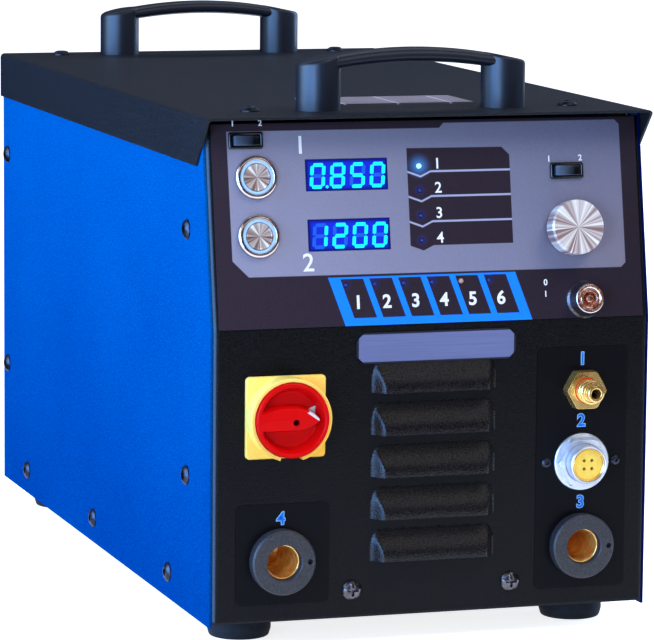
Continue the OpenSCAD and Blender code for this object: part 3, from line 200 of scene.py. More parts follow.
# The front panel has the same black coat as the cover. Here it gets darker tones as painted shade, since the
# front faces away from the light above. Its negative climb makes it paler downwards, a painted reflection of
# the bright floor.
front_coat_painted_shade = powder_coat("front_coat_painted_shade", screen(3, 3, 4), screen(20, 19, 23), 0.1, 0.24, 0.0014, -2.2)
# Painted light: the blue coat grows paler upwards, as if lit from above.
blue_coat = powder_coat("blue_coat", screen(0, 48, 116), screen(0, 92, 160), 0.0, 0.33, 0.0007, 1.3)


def recolour(material, mask, colour):
    """Lays a colour over a powder coat where a mask, made from its tree's wires, is 1."""
    coat = Wire(material.node_tree, material.node_tree.nodes["Mix"].outputs[2])
    mask(coat).blend(coat, colour).feed("Base Color")


def painted_shade_right_cut_edge(coat):
    """1 on the front cut edge of the right side panel, which lies in shade; painted shade darkens it there.
    """
    facing = coat.add("ShaderNodeNewGeometry", {}, {}, 1).along((0, -1, 0)).step(0.7, 0.2)
    return facing.both(coat.add("ShaderNodeTexCoord", {}, {}, 3).along((1, 0, 0)).step(0.0, 0.01))


def painted_glint_left_fold(coat):
    """1 on the fold at the front panel's left, where a painted glint stands for the light from the left
    catching the fold.
    """
    return coat.soft_edges(0.0014).along((-1, 0, 0)).step(0.66, 0.3)


# Painted shade: the right side panel's front cut edge is darkened.
recolour(blue_coat, painted_shade_right_cut_edge, screen(4, 14, 70))
# Painted highlight: a blue-white glint is laid on the front panel's left fold.
recolour(front_coat_painted_shade, painted_glint_left_fold, screen(66, 84, 104))
dress(black_coat, "base_tray", "rear_panel", "top_cover")
dress(front_coat_painted_shade, "front_panel")
dress(blue_coat, "left_side_panel", "right_side_panel")


# The louvres: five hoods pressed out of the front panel. Each swells smoothly from the panel to an open
# lower lip and fades out at its ends, under a black coat that runs into the panel's. That coat is a lighter,
# warmer copy of the panel's, painted light on the raised hoods, and darkens to painted shade where they meet
# it.
MM = 0.001
front_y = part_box("fascia_overlay")[0].y / MM + 0.406
louvre_levels = [50.2 + 25.4 * k for k in range(5)]
louvre_flat = 31.5
louvre_fade = 8.0
louvre_rise = 20.2
louvre_bow = 1.35
louvre_out = 7.5
louvre_join = 3.4
louvre_root = 0.05
louvre_skin = 0.3
louvre_blend = 2.0
louvre_blend_soft = 3.6
louvre_coat_painted_light = powder_coat("louvre_coat_painted_light", screen(5, 4, 5), screen(32, 27, 31), 0.25, 0.13, 0.0, 0.0)


def painted_shade_near_panel(coat):
    """1 where a hood lies close to the panel, fading to 0 some millimetres out; there painted shade darkens
    it.
    """
    depth = coat.add("ShaderNodeTexCoord", {}, {}, 3).along((0, 1, 0))
    return depth.step((front_y - louvre_blend) * MM, louvre_blend_soft * MM)


# Painted shade: the hoods darken where they meet the panel and at the lip.
recolour(louvre_coat_painted_light, painted_shade_near_panel, screen(13, 12, 15))


def placed(points, origin, across, upward):
    """Local points moved to an origin: x runs across, y upward, and z out of the surface there."""
    axes = np.array([across, upward, np.cross(across, upward)], float)
    return np.array(origin, float) + points @ axes


def make_piece(name, grids, material, body, replaces=(), crease=40):
    """One mesh from grids of points in mm. Neighbours in a grid make its faces, and doubles are merged."""
    starts = np.cumsum([0] + [grid.shape[0] * grid.shape[1] for grid in grids])
    quads = []
    for grid, start in zip(grids, starts):
        index = start + np.arange(grid.shape[0] * grid.shape[1]).reshape(grid.shape[:2])
        corners = [index[:-1, :-1], index[:-1, 1:], index[1:, 1:], index[1:, :-1]]
        quads.append(np.stack(corners, -1).reshape(-1, 4))
    points = np.concatenate([grid.reshape(-1, 3) for grid in grids]) * MM
    mesh = bpy.data.meshes.new(name)
    mesh.from_pydata(points.tolist(), [], np.concatenate(quads).tolist())
    return settle(name, mesh, material, body, replaces, crease)


def settle(name, mesh, material, body, replaces, crease):
    """Closes a mesh's seams, shades it smooth up to the crease angle, and sets it on its body."""
    work = bmesh.new()
    work.from_mesh(mesh)
    bmesh.ops.remove_doubles(work, verts=work.verts, dist=1e-6)
    bmesh.ops.dissolve_degenerate(work, dist=1e-7, edges=work.edges)
    work.to_mesh(mesh)
    work.free()
    mesh.polygons.foreach_set("use_smooth", np.ones(len(mesh.polygons), bool))
    mesh.set_sharp_from_angle(angle=math.radians(crease))
    mesh.materials.append(material)
    piece = bpy.data.objects.new(name, mesh)
    bpy.context.scene.collection.objects.link(piece)
    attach(piece, body)
    if replaces:
        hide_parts(*replaces)
    return piece


def hood(z):
    """A skin whose height falls by raised cosines from the lip up and to the ends, joined by a power sum."""
    across = np.linspace(-1, 1, 101)[None] * (louvre_flat + louvre_fade)
    fade = np.clip((np.abs(across) - louvre_flat) / louvre_fade, 0, 1)
    rise = np.linspace(0, 1, 33)[:, None]
    sideways = 0.5 - 0.5 * np.cos(np.pi * fade)
    upward = 0.5 - 0.5 * np.cos(np.pi * rise ** louvre_bow)
    fall = sideways ** louvre_join + upward ** louvre_join
    swell = np.maximum(1 - fall ** (1 / louvre_join), 0)
    even = np.ones_like(swell)
    out = (louvre_out + louvre_root) * swell - louvre_root
    outer = np.stack([across * even, louvre_rise * rise * even, out], -1)
    inner = outer - np.stack([0 * even, 0 * even, louvre_skin * np.clip(8 * swell, 0, 1)], -1)
    sheet = np.concatenate([inner[:1], outer, inner[::-1]])
    return placed(sheet, (0, front_y, z - 0.1), (1, 0, 0), (0, 0, 1))


make_piece("louvre_hoods", [hood(z) for z in louvre_levels], louvre_coat_painted_light, "chassis", (), 50)


# The screws: black button heads with a hexagon recess in the cover and the sides, and cross recesses
# in the front panel. They are blackened steel, worn bright on the front. The handles' bolts are among them.
def turned(profile, steps=72, flats=None):
    """A profile of (radius, height) points turned round z. Flats cut it to a hexagon of that width."""
    radius, height = np.array(profile, float).T[:, :, None]
    angle = np.linspace(0, 2 * np.pi, steps + 1)[None]
    if flats:
        radius = np.minimum(radius, flats / 2 / np.cos((angle % (np.pi / 3)) - np.pi / 6))
    return np.stack([radius * np.cos(angle), radius * np.sin(angle), height + 0 * angle], -1)


head_radius = 6.0
head_height = 2.8
shank_radius = 2.4


def hexagon_recess(angle):
    """The outline of a hexagon key's recess."""
    return 2.3 / np.cos((angle % (np.pi / 3)) - np.pi / 6)


def cross_recess(angle):
    """The outline of a cross recess: two bars of 1.7 by 7 mm."""
    across = np.maximum(np.abs(np.cos(angle)), 1e-6)
    up = np.maximum(np.abs(np.sin(angle)), 1e-6)
    return np.minimum(np.maximum(0.85 / across, 0.85 / up), 3.5 / np.maximum(across, up))


def screw(recess, shank, size=1.0):
    """A shank, a head that domes up to the recess's outline, the recess's wall and its floor."""
    angle = np.linspace(0, 2 * np.pi, 73)[None]
    even = np.ones_like(angle)
    rise = np.linspace(0, 1, 7)[:, None]
    lip = recess(angle) * size
    rim = head_radius * size
    high = head_height * size
    shaft = np.array([0, shank_radius, shank_radius, rim])[:, None] * even
    shaft_height = np.array([-shank, -shank, 0, 0])[:, None] * even
    dome = rim + (lip - rim) * rise
    dome_height = high * (0.25 + 0.75 * (1 - (1 - rise) ** 2.2)) * even
    pit = np.array([[0.92], [0.0]]) * lip
    pit_height = np.full((2, 1), high * 0.1) * even
    radius = np.concatenate([shaft, dome, pit])
    height = np.concatenate([shaft_height, dome_height, pit_height])
    return np.stack([radius * np.cos(angle), radius * np.sin(angle), height], -1)


cover_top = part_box("top_cover")[1].z / MM
handle_rows = [-216.0, 244.0]
cover_screw_x = 101.0
handle_leg_x = 58.7
side_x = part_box("right_side_panel")[1].x / MM
side_screws = [(y, z) for y in (-211.5, 250.5) for z in (97.5, 246.0)]
side_screws += [(y, 30.5) for y in (-172.0, 10.0, 192.0)]

screw_black = mottled("screw_black", {"Metallic": 1.0}, (28, 30, 38), (70, 74, 86), 500.0, dull=(0.3, 0.2))

cover_heads = []
for y in handle_rows:
    for side in (-1, 1):
        cover_heads.append(placed(screw(hexagon_recess, 4.5), (side * cover_screw_x, y, cover_top),
                                  (1, 0, 0), (0, 1, 0)))
        cover_heads.append(placed(screw(hexagon_recess, 16.0), (side * handle_leg_x, y, cover_top - 3),
                                  (1, 0, 0), (0, -1, 0)))
make_piece("cover_screw_heads", cover_heads, screw_black, "chassis", ["cover_screws"])

side_heads = []
for y, z in side_screws:
    for side in (-1, 1):
        side_heads.append(placed(screw(hexagon_recess, 4.5), (side * side_x, y, z), (0, side, 0), (0, 0, 1)))
make_piece("side_screw_heads", side_heads, screw_black, "chassis", ["side_screws"])

socket_x = 94.8
connector_z = 104.2
label_thick = 0.4
front_screw_x = 50.3
front_screw_z = 33.0
small_screw_gap = 22.3
front_heads = [placed(screw(cross_recess, 4.5), (x, front_y, front_screw_z), (1, 0, 0), (0, 0, 1))
               for x in (-front_screw_x, front_screw_x)]
small_heads = [placed(screw(hexagon_recess, 4.9, 0.5), (x, front_y - label_thick, connector_z),
                      (1, 0, 0), (0, 0, 1)) for x in (socket_x - small_screw_gap, socket_x + small_screw_gap)]
make_piece("connector_screw_heads", small_heads, screw_black, "chassis")
screw_steel = mottled("screw_steel", {"Metallic": 1.0}, (52, 50, 56), (120, 116, 122), 400.0,
                      dull=(0.18, 0.2))
make_piece("front_screw_heads", front_heads, screw_steel, "chassis", ["front_screws"])


# The handles: two bridges of moulded black plastic, each bolted to the cover from below.
# Each has two round legs and an arched grip whose top runs over them in one curve.
handle_length = 144.4
handle_leg = 27.0
handle_end = 28.0
handle_crown = 37.0
grip_gap = 25.0
grip_bow = 3.2
grip_depth = 21.0
leg_edge = 2.2


def handle_top(x):
    """The height of the handle's top above the cover, a parabola from end to end."""
    return handle_crown - (handle_crown - handle_end) * (2 * x / handle_length) ** 2


def grip(y, base):
    """Superellipses carried from leg to leg between the top and a second parabola below it."""
    x = np.linspace(-handle_leg_x, handle_leg_x, 61)[:, None]
    low = grip_gap + grip_bow * (1 - (2 * x / (handle_length - 2 * handle_leg)) ** 2)
    turn = np.linspace(0, 2 * np.pi, 49)[None]
    wide, thick = (np.sign(part) * np.abs(part) ** 0.76 for part in (np.cos(turn), np.sin(turn)))
    middle, reach = (handle_top(x) + low) / 2, (handle_top(x) - low) / 2
    return np.stack([x + 0 * turn, y + grip_depth / 2 * wide + 0 * x, base + middle + reach * thick], -1)


def leg(centre, y, base):
    """A round leg whose top follows the handle's and has a rounded edge."""
    angle = np.linspace(0, 2 * np.pi, 73)[None]
    turn = np.linspace(0, np.pi / 2, 7)
    radius = handle_leg / 2 - leg_edge + leg_edge * np.cos(turn)
    radius = np.concatenate([[0, handle_leg / 2], radius, [0]])[:, None]
    drop = np.concatenate([[0, 0], leg_edge * (1 - np.sin(turn)), [0]])[:, None]
    x = centre + radius * np.cos(angle)
    z = handle_top(x) - drop
    z[:2] = 0
    return np.stack([x, y + radius * np.sin(angle), base + z], -1)


handle_plastic, place = finish("handle_plastic", {"Specular IOR Level": 0.42})
pebble = place.noise(1500.0)
(place.noise(12.0) * 0.6 + pebble * 0.4).tint((7, 9, 15), (22, 28, 44)).feed("Base Color")
(0.3 + pebble * 0.16).feed("Roughness")
pebble.bump(0.00008).feed("Normal")
for name, y in zip(("front_handle", "rear_handle"), handle_rows):
    parts = [grip(y, cover_top)] + [leg(side * handle_leg_x, y, cover_top) for side in (-1, 1)]
    make_piece(name + "_bridge", parts, handle_plastic, "chassis", [name], 60)


# The feet: four turned black rubber pads with a rounded lower edge, each on a sunk screw.
foot_radius = 19.5
foot_height = 16.0
foot_x = 107.0
foot_y = 219.0


def eased(points, reach, steps=5):
    """A polyline with each inner corner turned into a curve that starts and ends reach mm from it."""
    points = np.array(points, float)
    corner = points[1:-1]

    def toward(other, share):
        gap = other - corner
        length = np.maximum(np.linalg.norm(gap, axis=1, keepdims=True), 1e-9)
        return corner + gap * np.minimum(reach * share / length, 0.49 * share / 1.2)

    way = np.linspace(0, 1, steps + 1)[None, :, None]
    first, last = toward(points[:-2], 1.0)[:, None], toward(points[2:], 1.0)[:, None]
    curve = first * (1 - way) ** 2 + 2 * corner[:, None] * way * (1 - way) + last * way ** 2
    held = np.concatenate([toward(points[:-2], 1.2)[:, None], curve, toward(points[2:], 1.2)[:, None]], 1)
    return np.concatenate([points[:1], held.reshape(-1, points.shape[1]), points[-1:]])


foot_profile = eased([(3.2, foot_height), (3.2, 6.0), (6.9, 6.0), (6.9, 0.0), (foot_radius - 1.5, 0.0),
                      (foot_radius, 5.0), (foot_radius - 0.8, foot_height), (3.2, foot_height)], 1.2)
rubber, place = finish("foot_rubber", {"Specular IOR Level": 0.12})
dust = place.noise(260.0, 4.0)
dust.tint((14, 15, 20), (44, 46, 54)).feed("Base Color")
(0.55 + dust * 0.3).feed("Roughness")
dust.bump(0.0002).feed("Normal")
feet = [placed(turned(foot_profile), (x, y, 0), (1, 0, 0), (0, 1, 0))
        for x in (-foot_x, foot_x) for y in (-foot_y, foot_y)]
make_piece("rubber_feet", feet, rubber, "chassis", ["feet"])


# The fascia sheet: a printed film on the leaning part of the front panel. Its dark border carries a
# blue strip of six lamp fields, and its grey field a dark menu block of four rows.
# Painted shade, a painted warm light and painted glows round the lamps are laid into the film's colours.
lean = math.radians(10.0)
bend_z = 191.5
fascia_up = np.array([0.0, math.sin(lean), math.cos(lean)])
film = 0.5


def on_fascia(points, x, s, rise=0.0):
    """Local points set on the fascia at x and at s mm above its bend, that far out of the panel."""
    origin = np.array([x, front_y, bend_z]) + s * fascia_up
    return placed(points + [0, 0, rise], origin, (1, 0, 0), fascia_up)


def fascia_places(place):
    """Wires of x and of the height above the bend along the fascia, in mm."""
    low = fascia_up @ np.array([0, front_y, bend_z])
    return place.along((1 / MM, 0, 0)), place.along(tuple(fascia_up / MM)) - float(low)


def between(value, low, high):
    """1 where a wire lies between two values, with the print's soft edge."""
    return value.step(low, print_soft).both(value.step(high, -print_soft))


def inside(x, s, corners, soft=0.35):
    """A mask of a convex outline, whose corners run anticlockwise: the smallest of its sides' steps."""
    masks = []
    for (x0, s0), (x1, s1) in zip(corners, corners[1:] + corners[:1]):
        length = math.hypot(x1 - x0, s1 - s0)
        out_x, out_s = (s1 - s0) / length, (x0 - x1) / length
        masks.append((x * out_x + s * out_s).step(x0 * out_x + s0 * out_s, -soft))
    return masks[0].both(*masks[1:])


grey_field = [(-123.6, 40.8), (-114.0, 31.1), (120.6, 30.3), (123.6, 33.0), (123.3, 116.7), (120.4, 119.6),
              (-124.0, 119.6)]
grey_step = [(-140.0, 117.0), (8.2, 116.7), (12.2, 121.0), (-140.0, 125.0)]
menu_block = [(-13.0, 40.0), (52.0, 40.0), (52.0, 99.8), (47.2, 104.6), (-13.0, 105.0)]
menu_lines = [90.9, 76.1, 61.1]
menu_foot = 46.8
menu_lamp_x = -5.6
menu_lamps = [94.2, 79.8, 64.8, 50.0]
strip_shear = 0.335
strip_sides = (-65.0, 52.7)
strip_levels = (-0.2, 29.4)
cell_sides = (-57.9, 46.4)
cell_levels = (5.0, 28.3)
cell_wide = 14.2
print_soft = 0.35
strip_lamp_x = -54.3
strip_lamp_s = 25.0
strip_pitch = 18.0

print_film, place = finish("fascia_print", {"Specular IOR Level": 0.08, "Emission Strength": 1.0})
x, s = fascia_places(place)
speck = place.noise(1400.0)
# Painted shade: the grey field darkens towards the top, under the visor, and towards the right.
light = (0.62 - x * 0.0024 - (s - 75.0) * 0.0032 + (speck - 0.5) * 0.35).maths("ADD", 0.0, 0.0, True)
grey_print_and_light = light.tint((74, 78, 105), (133, 132, 156))
# Painted light: a warm pool of light is laid on the grey field's lower right.
warm_painted_light = x.step(95.0, 90.0) * s.step(75.0, -90.0) * 0.8
grey_print_and_light = warm_painted_light.blend(grey_print_and_light, screen(116, 108, 122))
# Painted shade: the dark film darkens towards the right.
dark_print_and_shade = (speck * 0.5 - x * 0.0011 + 0.33).maths("ADD", 0.0, 0.0, True).tint((16, 12, 16), (52, 41, 54))
# Painted shadow: the film's top border, under the visor, is laid nearly black.
dark_print_and_shade = s.step(122.0, 6.0).blend(dark_print_and_shade, screen(9, 8, 11))
field = inside(x, s, grey_field).both(1.0 - inside(x, s, grey_step))
printed = field.blend(dark_print_and_shade, grey_print_and_light)
dip = ((x + 13.0) * (3.0 / 8.2)).both((1.6 - x) * (3.0 / 6.4)).either(0.0)
menu = inside(x, s, menu_block).both((s + dip).step(menu_foot, 0.35))
printed = menu.blend(printed, dark_print_and_shade)
rules = [abs(s + dip - line).step(0.58, -0.35) for line in menu_lines]
printed = rules[0].either(*rules[1:]).both(menu).blend(printed, screen(150, 152, 184))
q = x + (s - cell_levels[1]) * strip_shear
strip = between(q, *strip_sides).both(between(s, *strip_levels))
beat = ((q - cell_sides[0]) * (1 / strip_pitch)).maths("FRACT") * strip_pitch
cells = between(beat, 0.0, cell_wide).both(between(q, *cell_sides), between(s, *cell_levels))
printed = strip.both(1.0 - cells).blend(printed, screen(20, 122, 252))
printed.feed("Base Color")


def spot(x, s, lamp_x, lamp_s, size):
    """A round glow that falls off from its lamp's place to nothing at that size."""
    near_x, near_s = x - lamp_x, s - lamp_s
    far = (near_x * near_x + near_s * near_s).maths("SQRT")
    fade = (1.0 - far * (1 / size)).maths("MAXIMUM", 0.0)
    return fade * fade


# Painted light: the film glows round the lit menu lamp, and faintly round the lamps that are off.
painted_lamp_halo = spot(x, s, menu_lamp_x, menu_lamps[0], 9.0)
painted_lamp_glows = [spot(x, s, menu_lamp_x, row, 5.0) for row in menu_lamps[1:]]
painted_lamp_glows += [spot(x, s, strip_lamp_x + strip_pitch * k, strip_lamp_s, 4.5) for k in (0, 1, 2, 3, 5)]
glow = painted_lamp_glows[0].either(*painted_lamp_glows[1:]).blend((0.0, 0.0, 0.0, 1.0), screen(16, 34, 130))
painted_lamp_halo.blend(glow, screen(60, 150, 255)).feed("Emission Color")
(0.42 + speck * 0.16).feed("Roughness")
speck.bump(0.00006).feed("Normal")
dress(print_film, "fascia_overlay")


# The lamps: small domed lenses behind holes in the film. The top menu lamp is lit blue-white, one lamp
# of the strip is a pale amber lens, and the others are off.
lens, place = finish("lamp_lens", {"Roughness": 0.25, "Specular IOR Level": 0.2, "Emission Strength": 1.0})
x, s = fascia_places(place)
lit = spot(x, s, menu_lamp_x, menu_lamps[0], 3.4)
amber = spot(x, s, strip_lamp_x + strip_pitch * 4, strip_lamp_s, 3.0).step(0.1, 0.05)
cloudy = place.noise(900.0)
off = cloudy.tint((16, 24, 70), (34, 50, 120))
amber.blend(off, screen(176, 140, 124)).feed("Base Color")
lit.step(0.25, 0.3).blend((0.0, 0.0, 0.0, 1.0), (0.7, 1.6, 2.4, 1.0)).feed("Emission Color")
dress(lens, "indicator_leds")


# The displays: two dark blue windows set flush in the film, each with four lit seven-segment digits.
# The segments are thin raised bars, and the ones that are off show faintly.
display_x = -51.0
display_s = [90.2, 54.6]
digit_drop = 0.5
display_texts = ["0.850", "1200"]
digit_pitch = 12.4
digit_wide = 7.2
digit_tall = 13.0
segment_wide = 2.2
digit_slant = 0.09
segment_ends = {"a": (0, 2, 1, 2), "b": (1, 2, 1, 1), "c": (1, 1, 1, 0), "d": (0, 0, 1, 0),
                "e": (0, 1, 0, 0), "f": (0, 2, 0, 1), "g": (0, 1, 1, 1)}
digit_segments = {"0": "abcdef", "1": "bc", "2": "abged", "5": "afgcd", "8": "abcdefg", " ": ""}


def plate(outline, low, high, inset=0.0):
    """A closed plate with a star-shaped outline, anticlockwise, between two heights, its top edge inset."""
    outline = np.array(outline, float)
    ring = np.concatenate([outline, outline[:1]])
    middle = np.broadcast_to(outline.mean(0), ring.shape)
    gap = middle - ring
    top = ring + gap * np.minimum(inset / np.maximum(np.linalg.norm(gap, axis=1, keepdims=True), 1e-9), 1)
    rows = [(middle, low), (ring, low), (ring, high - inset), (top, high), (middle, high)]
    return np.stack([np.concatenate([flat, np.full((len(ring), 1), height)], 1) for flat, height in rows])


def segment(ends):
    """A six-sided bar between two corners of a digit, with pointed ends and the digit's slant."""
    ends = np.array(ends, float).reshape(2, 2) * [digit_wide, digit_tall / 2]
    way = (ends[1] - ends[0]) / np.linalg.norm(ends[1] - ends[0])
    side = np.array([-way[1], way[0]]) * segment_wide / 2
    tips = ends + np.outer([0.35, -0.35], way)
    near = ends + np.outer([0.95, -0.95], way)
    bar = np.array([tips[0], near[0] - side, near[1] - side, tips[1], near[1] + side, near[0] + side])
    return bar + np.stack([bar[:, 1] * digit_slant, 0 * bar[:, 1]], 1) - [digit_wide / 2, digit_tall / 2]


lit_bars, dim_bars = [], []
dot = turned([(0, 0), (0.95, 0), (0.95, 0.12), (0, 0.12)], 20)
for text, row in zip(display_texts, display_s):
    for cell, mark in enumerate(text.replace(".", "")):
        x = display_x + (cell - 1.5) * digit_pitch
        for key, ends in segment_ends.items():
            group = lit_bars if key in digit_segments[mark] else dim_bars
            group.append(on_fascia(plate(segment(ends), -0.05, 0.1), x, row - digit_drop, film))
    if "." in text:
        x = display_x + (text.index(".") - 2.0) * digit_pitch
        lit_bars.append(on_fascia(dot, x, row - digit_drop - digit_tall / 2, film - 0.02))

window, place = finish("display_window", {"Roughness": 0.18, "Specular IOR Level": 0.08,
                                          "Emission Strength": 1.0})
x, s = fascia_places(place)
row = abs(s - (display_s[0] + display_s[1]) / 2) - (display_s[0] - display_s[1]) / 2
middle = abs(x - display_x).step(23.6, -2.4).both(abs(row).step(7.8, -2.4))
haze = place.noise(120.0)
tone = middle * (0.75 + haze * 0.4)
tone.tint((12, 20, 84), (18, 30, 150)).feed("Base Color")
tone.tint((6, 10, 70), (16, 34, 168)).feed("Emission Color")
dress(window, "displays")
for name, bars, look, glow, tone in (
        ("display_digits", lit_bars, "segment_lit", ((0, 225, 245), (40, 255, 255)),
         ((0, 120, 140), (10, 140, 150))),
        ("display_dim_segments", dim_bars, "segment_dim", ((18, 84, 214), (26, 100, 228)),
         ((10, 30, 90), (16, 40, 110)))):
    ink, place = finish(look, {"Roughness": 0.4, "Specular IOR Level": 0.1, "Emission Strength": 1.0})
    flicker = place.noise(700.0)
    flicker.tint(*glow).feed("Emission Color")
    flicker.tint(*tone).feed("Base Color")
    make_piece(name, bars, ink, "chassis")


# The numbers: plain white numerals printed on the menu rows, in the lamp fields of the strip, and beside
# the displays, the rocker switches and the key switch.
def numerals(marks, size, put, rise, bold):
    """Flat text for each (text, x, height), thickened by bold mm, put on a face of the case and joined."""
    joined = bmesh.new()
    for text, x, height in marks:
        curve = bpy.data.curves.new("numeral", "FONT")
        curve.body = text
        curve.size = size
        curve.offset = bold
        curve.align_x = "CENTER"
        curve.align_y = "CENTER"
        curve.extrude = 0.04
        writing = bpy.data.objects.new("numeral", curve)
        mesh = bpy.data.meshes.new_from_object(writing)
        flat = np.zeros(len(mesh.vertices) * 3)
        mesh.vertices.foreach_get("co", flat)
        mesh.vertices.foreach_set("co", (put(flat.reshape(-1, 3), x, height, rise) * MM).ravel())
        joined.from_mesh(mesh)
        bpy.data.objects.remove(writing)
        bpy.data.meshes.remove(mesh)
    made = bpy.data.meshes.new("numerals")
    joined.to_mesh(made)
    joined.free()
    return made


white_ink = mottled("white_ink", {"Roughness": 0.5, "Specular IOR Level": 0.3}, (206, 206, 216),
                    (236, 236, 244), 600.0)
menu_marks = [(str(k + 1), 6.0, row + 1.0) for k, row in enumerate(menu_lamps)]
strip_marks = [(str(k + 1), strip_lamp_x + strip_pitch * k + 7.0, 14.0) for k in range(6)]
display_marks = [("1", -79.0, 107.7), ("2", -77.0, 38.2)]
switch_marks = [("1", 77.2, 96.6), ("2", 97.3, 96.8), ("1", -120.0, 121.6), ("2", -103.2, 121.6),
                ("0", 71.5, 22.3), ("1", 71.3, 15.4)]
for name, marks, size, bold in (("menu_numbers", menu_marks, 9.0, 0.12),
                                ("strip_numbers", strip_marks, 11.0, 0.3),
                                ("display_numbers", display_marks, 15.0, 0.15),
                                ("switch_numbers", switch_marks, 5.0, 0.1)):
    settle(name, numerals(marks, size, on_fascia, film, bold), white_ink, "chassis", (), 30)


# The push-buttons: rounded chrome bezels with a lit ring, and spun metal caps that press 1.5 mm in.
# Each is a turned brass body, plated, held by a nut behind the panel.
button_x = -107.0
button_s = {"upper_button": 89.6, "lower_button": 54.9}


def spun(outer, height, pitch, deep):
    """The profile of a face turned on a lathe: fine rings that step up and down as they go inwards."""
    count = 2 * int(outer / pitch)
    radius = np.linspace(outer, 0, count + 1)
    return np.stack([radius, height + deep * (np.arange(count + 1) % 2)], 1).tolist()


def painted_spun_sheen(name, centre_x, centre_s, deep, pale, highlight_beams, depth, level):
    """Metal faced on a lathe, with a painted sheen: its tone changes with the angle only, in rays about a
    level, and in beams, which are painted highlights.
    """
    material, place = finish(name, {"Metallic": 0.2, "Specular IOR Level": 0.3})
    x, s = fascia_places(place)
    near_x, near_s = x - centre_x, s - centre_s
    far = (near_x * near_x + near_s * near_s).maths("SQRT").either(0.01)
    ray = place.add("ShaderNodeCombineXYZ", {}, {0: near_x / far, 1: near_s / far, 2: 0.3})
    # Painted sheen: the rays stand for light caught by the turned rings, and the beams below are painted
    # highlights.
    painted_sheen = ((ray.noise(4.0, 5.0) - 0.5) * depth + level).maths("ADD", 0.0, 0.0, True)
    for angle, width in highlight_beams:
        off = near_x * (math.sin(angle) / width) - near_s * (math.cos(angle) / width)
        painted_sheen = painted_sheen.either(1.0 - abs(off / far))
    painted_sheen.blend(deep, pale).feed("Base Color")
    (0.36 - painted_sheen * 0.1).feed("Roughness")
    return material


chrome = mottled("chrome", {"Metallic": 1.0}, (196, 196, 206), (226, 224, 228), 160.0, dull=(0.06, 0.1))
ring_light, place = finish("button_ring", {"Roughness": 0.35, "Emission Strength": 1.0})
smear = place.noise(400.0)
smear.tint((140, 176, 222), (164, 196, 234)).feed("Base Color")
smear.tint((44, 66, 108), (56, 80, 122)).feed("Emission Color")

satin = mottled("satin_chrome", {"Metallic": 0.95}, (176, 154, 146), (222, 208, 204), 160.0, dull=(0.1, 0.1))
bezel = eased([(0, -22.0), (10.9, -22.0), (10.9, film), (13.1, film), (13.1, 1.3), (12.6, 2.6),
               (11.7, 3.3), (10.5, 3.5), (9.9, 2.6), (8.3, 2.6), (8.3, -13.0), (0, -13.0)], 0.9)
ring = eased([(8.35, 2.4), (8.35, 3.05), (10.0, 3.05), (10.0, 2.4)], 0.3)
cap = eased([(0, -10.6), (8.0, -10.6), (8.0, 3.4), (7.3, 3.4), (7.0, 3.2)], 0.3).tolist()
cap += spun(6.9, 3.18, 0.6, 0.012)
make_piece("button_bezels", [on_fascia(turned(bezel), button_x, s) for s in button_s.values()], satin,
           "chassis", ["button_housings"])
make_piece("button_light_rings", [on_fascia(turned(ring), button_x, s) for s in button_s.values()],
           ring_light, "chassis")
# The caps' spun faces carry a painted sheen with painted highlight beams.
for body, s in button_s.items():
    spun_cap = painted_spun_sheen(body + "_spun", button_x, s, screen(112, 72, 62), screen(255, 253, 250),
                           [(math.radians(128), 0.26), (math.radians(92), 0.07)], 1.8, 0.24)
    make_piece(body + "_face", [on_fascia(turned(cap), button_x, s)], spun_cap, body,
               [body + "_cap"], 60)


# The rocker switches: small black moulded frames with rounded rims pushed into the panel, each with a
# hollowed paddle that swings 14 degrees on side pins.
rocker_places = {"left_rocker": (-112.5, 111.5), "right_rocker": (88.2, 89.4)}
rocker_axis = -1.0
rocker_tilt = math.radians(7.0)
paddle_reach = 8.4
paddle_tall = 5.8


def rounded_box(wide, tall, corner, steps=8):
    """A rectangle's outline, anticlockwise, with quarter circles at its corners."""
    turn = (np.arange(4) * np.pi / 2)[:, None]
    angle = (turn + np.linspace(0, np.pi / 2, steps + 1)).ravel()
    middle = np.repeat(turn.ravel() + np.pi / 4, steps + 1)
    return np.stack([np.sign(np.cos(middle)) * (wide / 2 - corner) + corner * np.cos(angle),
                     np.sign(np.sin(middle)) * (tall / 2 - corner) + corner * np.sin(angle)], 1)


def tiers(rows):
    """Rounded rectangles of (width, height, corner, level), one above the other, as one grid."""
    rings = []
    for wide, tall, corner, level in rows:
        ring = rounded_box(wide, tall, corner)
        rings.append(np.concatenate([ring, np.full((len(ring), 1), level)], 1))
    grid = np.stack(rings)
    return np.concatenate([grid, grid[:, :1]], 1)


def paddle():
    """A side view of (x, height) points, hollowed on top, carried across with rounded edges and tilted."""
    x = np.linspace(1, -1, 25) * (paddle_reach - 0.15)
    top = 3.2 + 1.2 * (np.abs(x) / paddle_reach) ** 1.4 - 0.9 * (np.abs(x) / paddle_reach) ** 24
    side = np.concatenate([[(-paddle_reach * 0.8, -5.0), (paddle_reach * 0.8, -5.0)], np.stack([x, top], 1)])
    side = np.concatenate([side, side[:1]])
    middle = np.array([0.0, -1.0])
    rows = []
    for share, across in ((0.0, 0.5), (0.95, 0.5), (0.985, 0.47), (1.0, 0.42), (1.0, -0.42), (0.985, -0.47),
                          (0.95, -0.5), (0.0, -0.5)):
        flat = middle + (side - middle) * share
        rows.append(np.stack([flat[:, 0], np.full(len(flat), across * paddle_tall), flat[:, 1]], 1))
    grid = np.stack(rows)
    cos, sin = math.cos(rocker_tilt), math.sin(rocker_tilt)
    turned_x = grid[..., 0] * cos + grid[..., 2] * sin
    turned_z = grid[..., 2] * cos - grid[..., 0] * sin
    return np.stack([turned_x, grid[..., 1], turned_z + rocker_axis], -1)


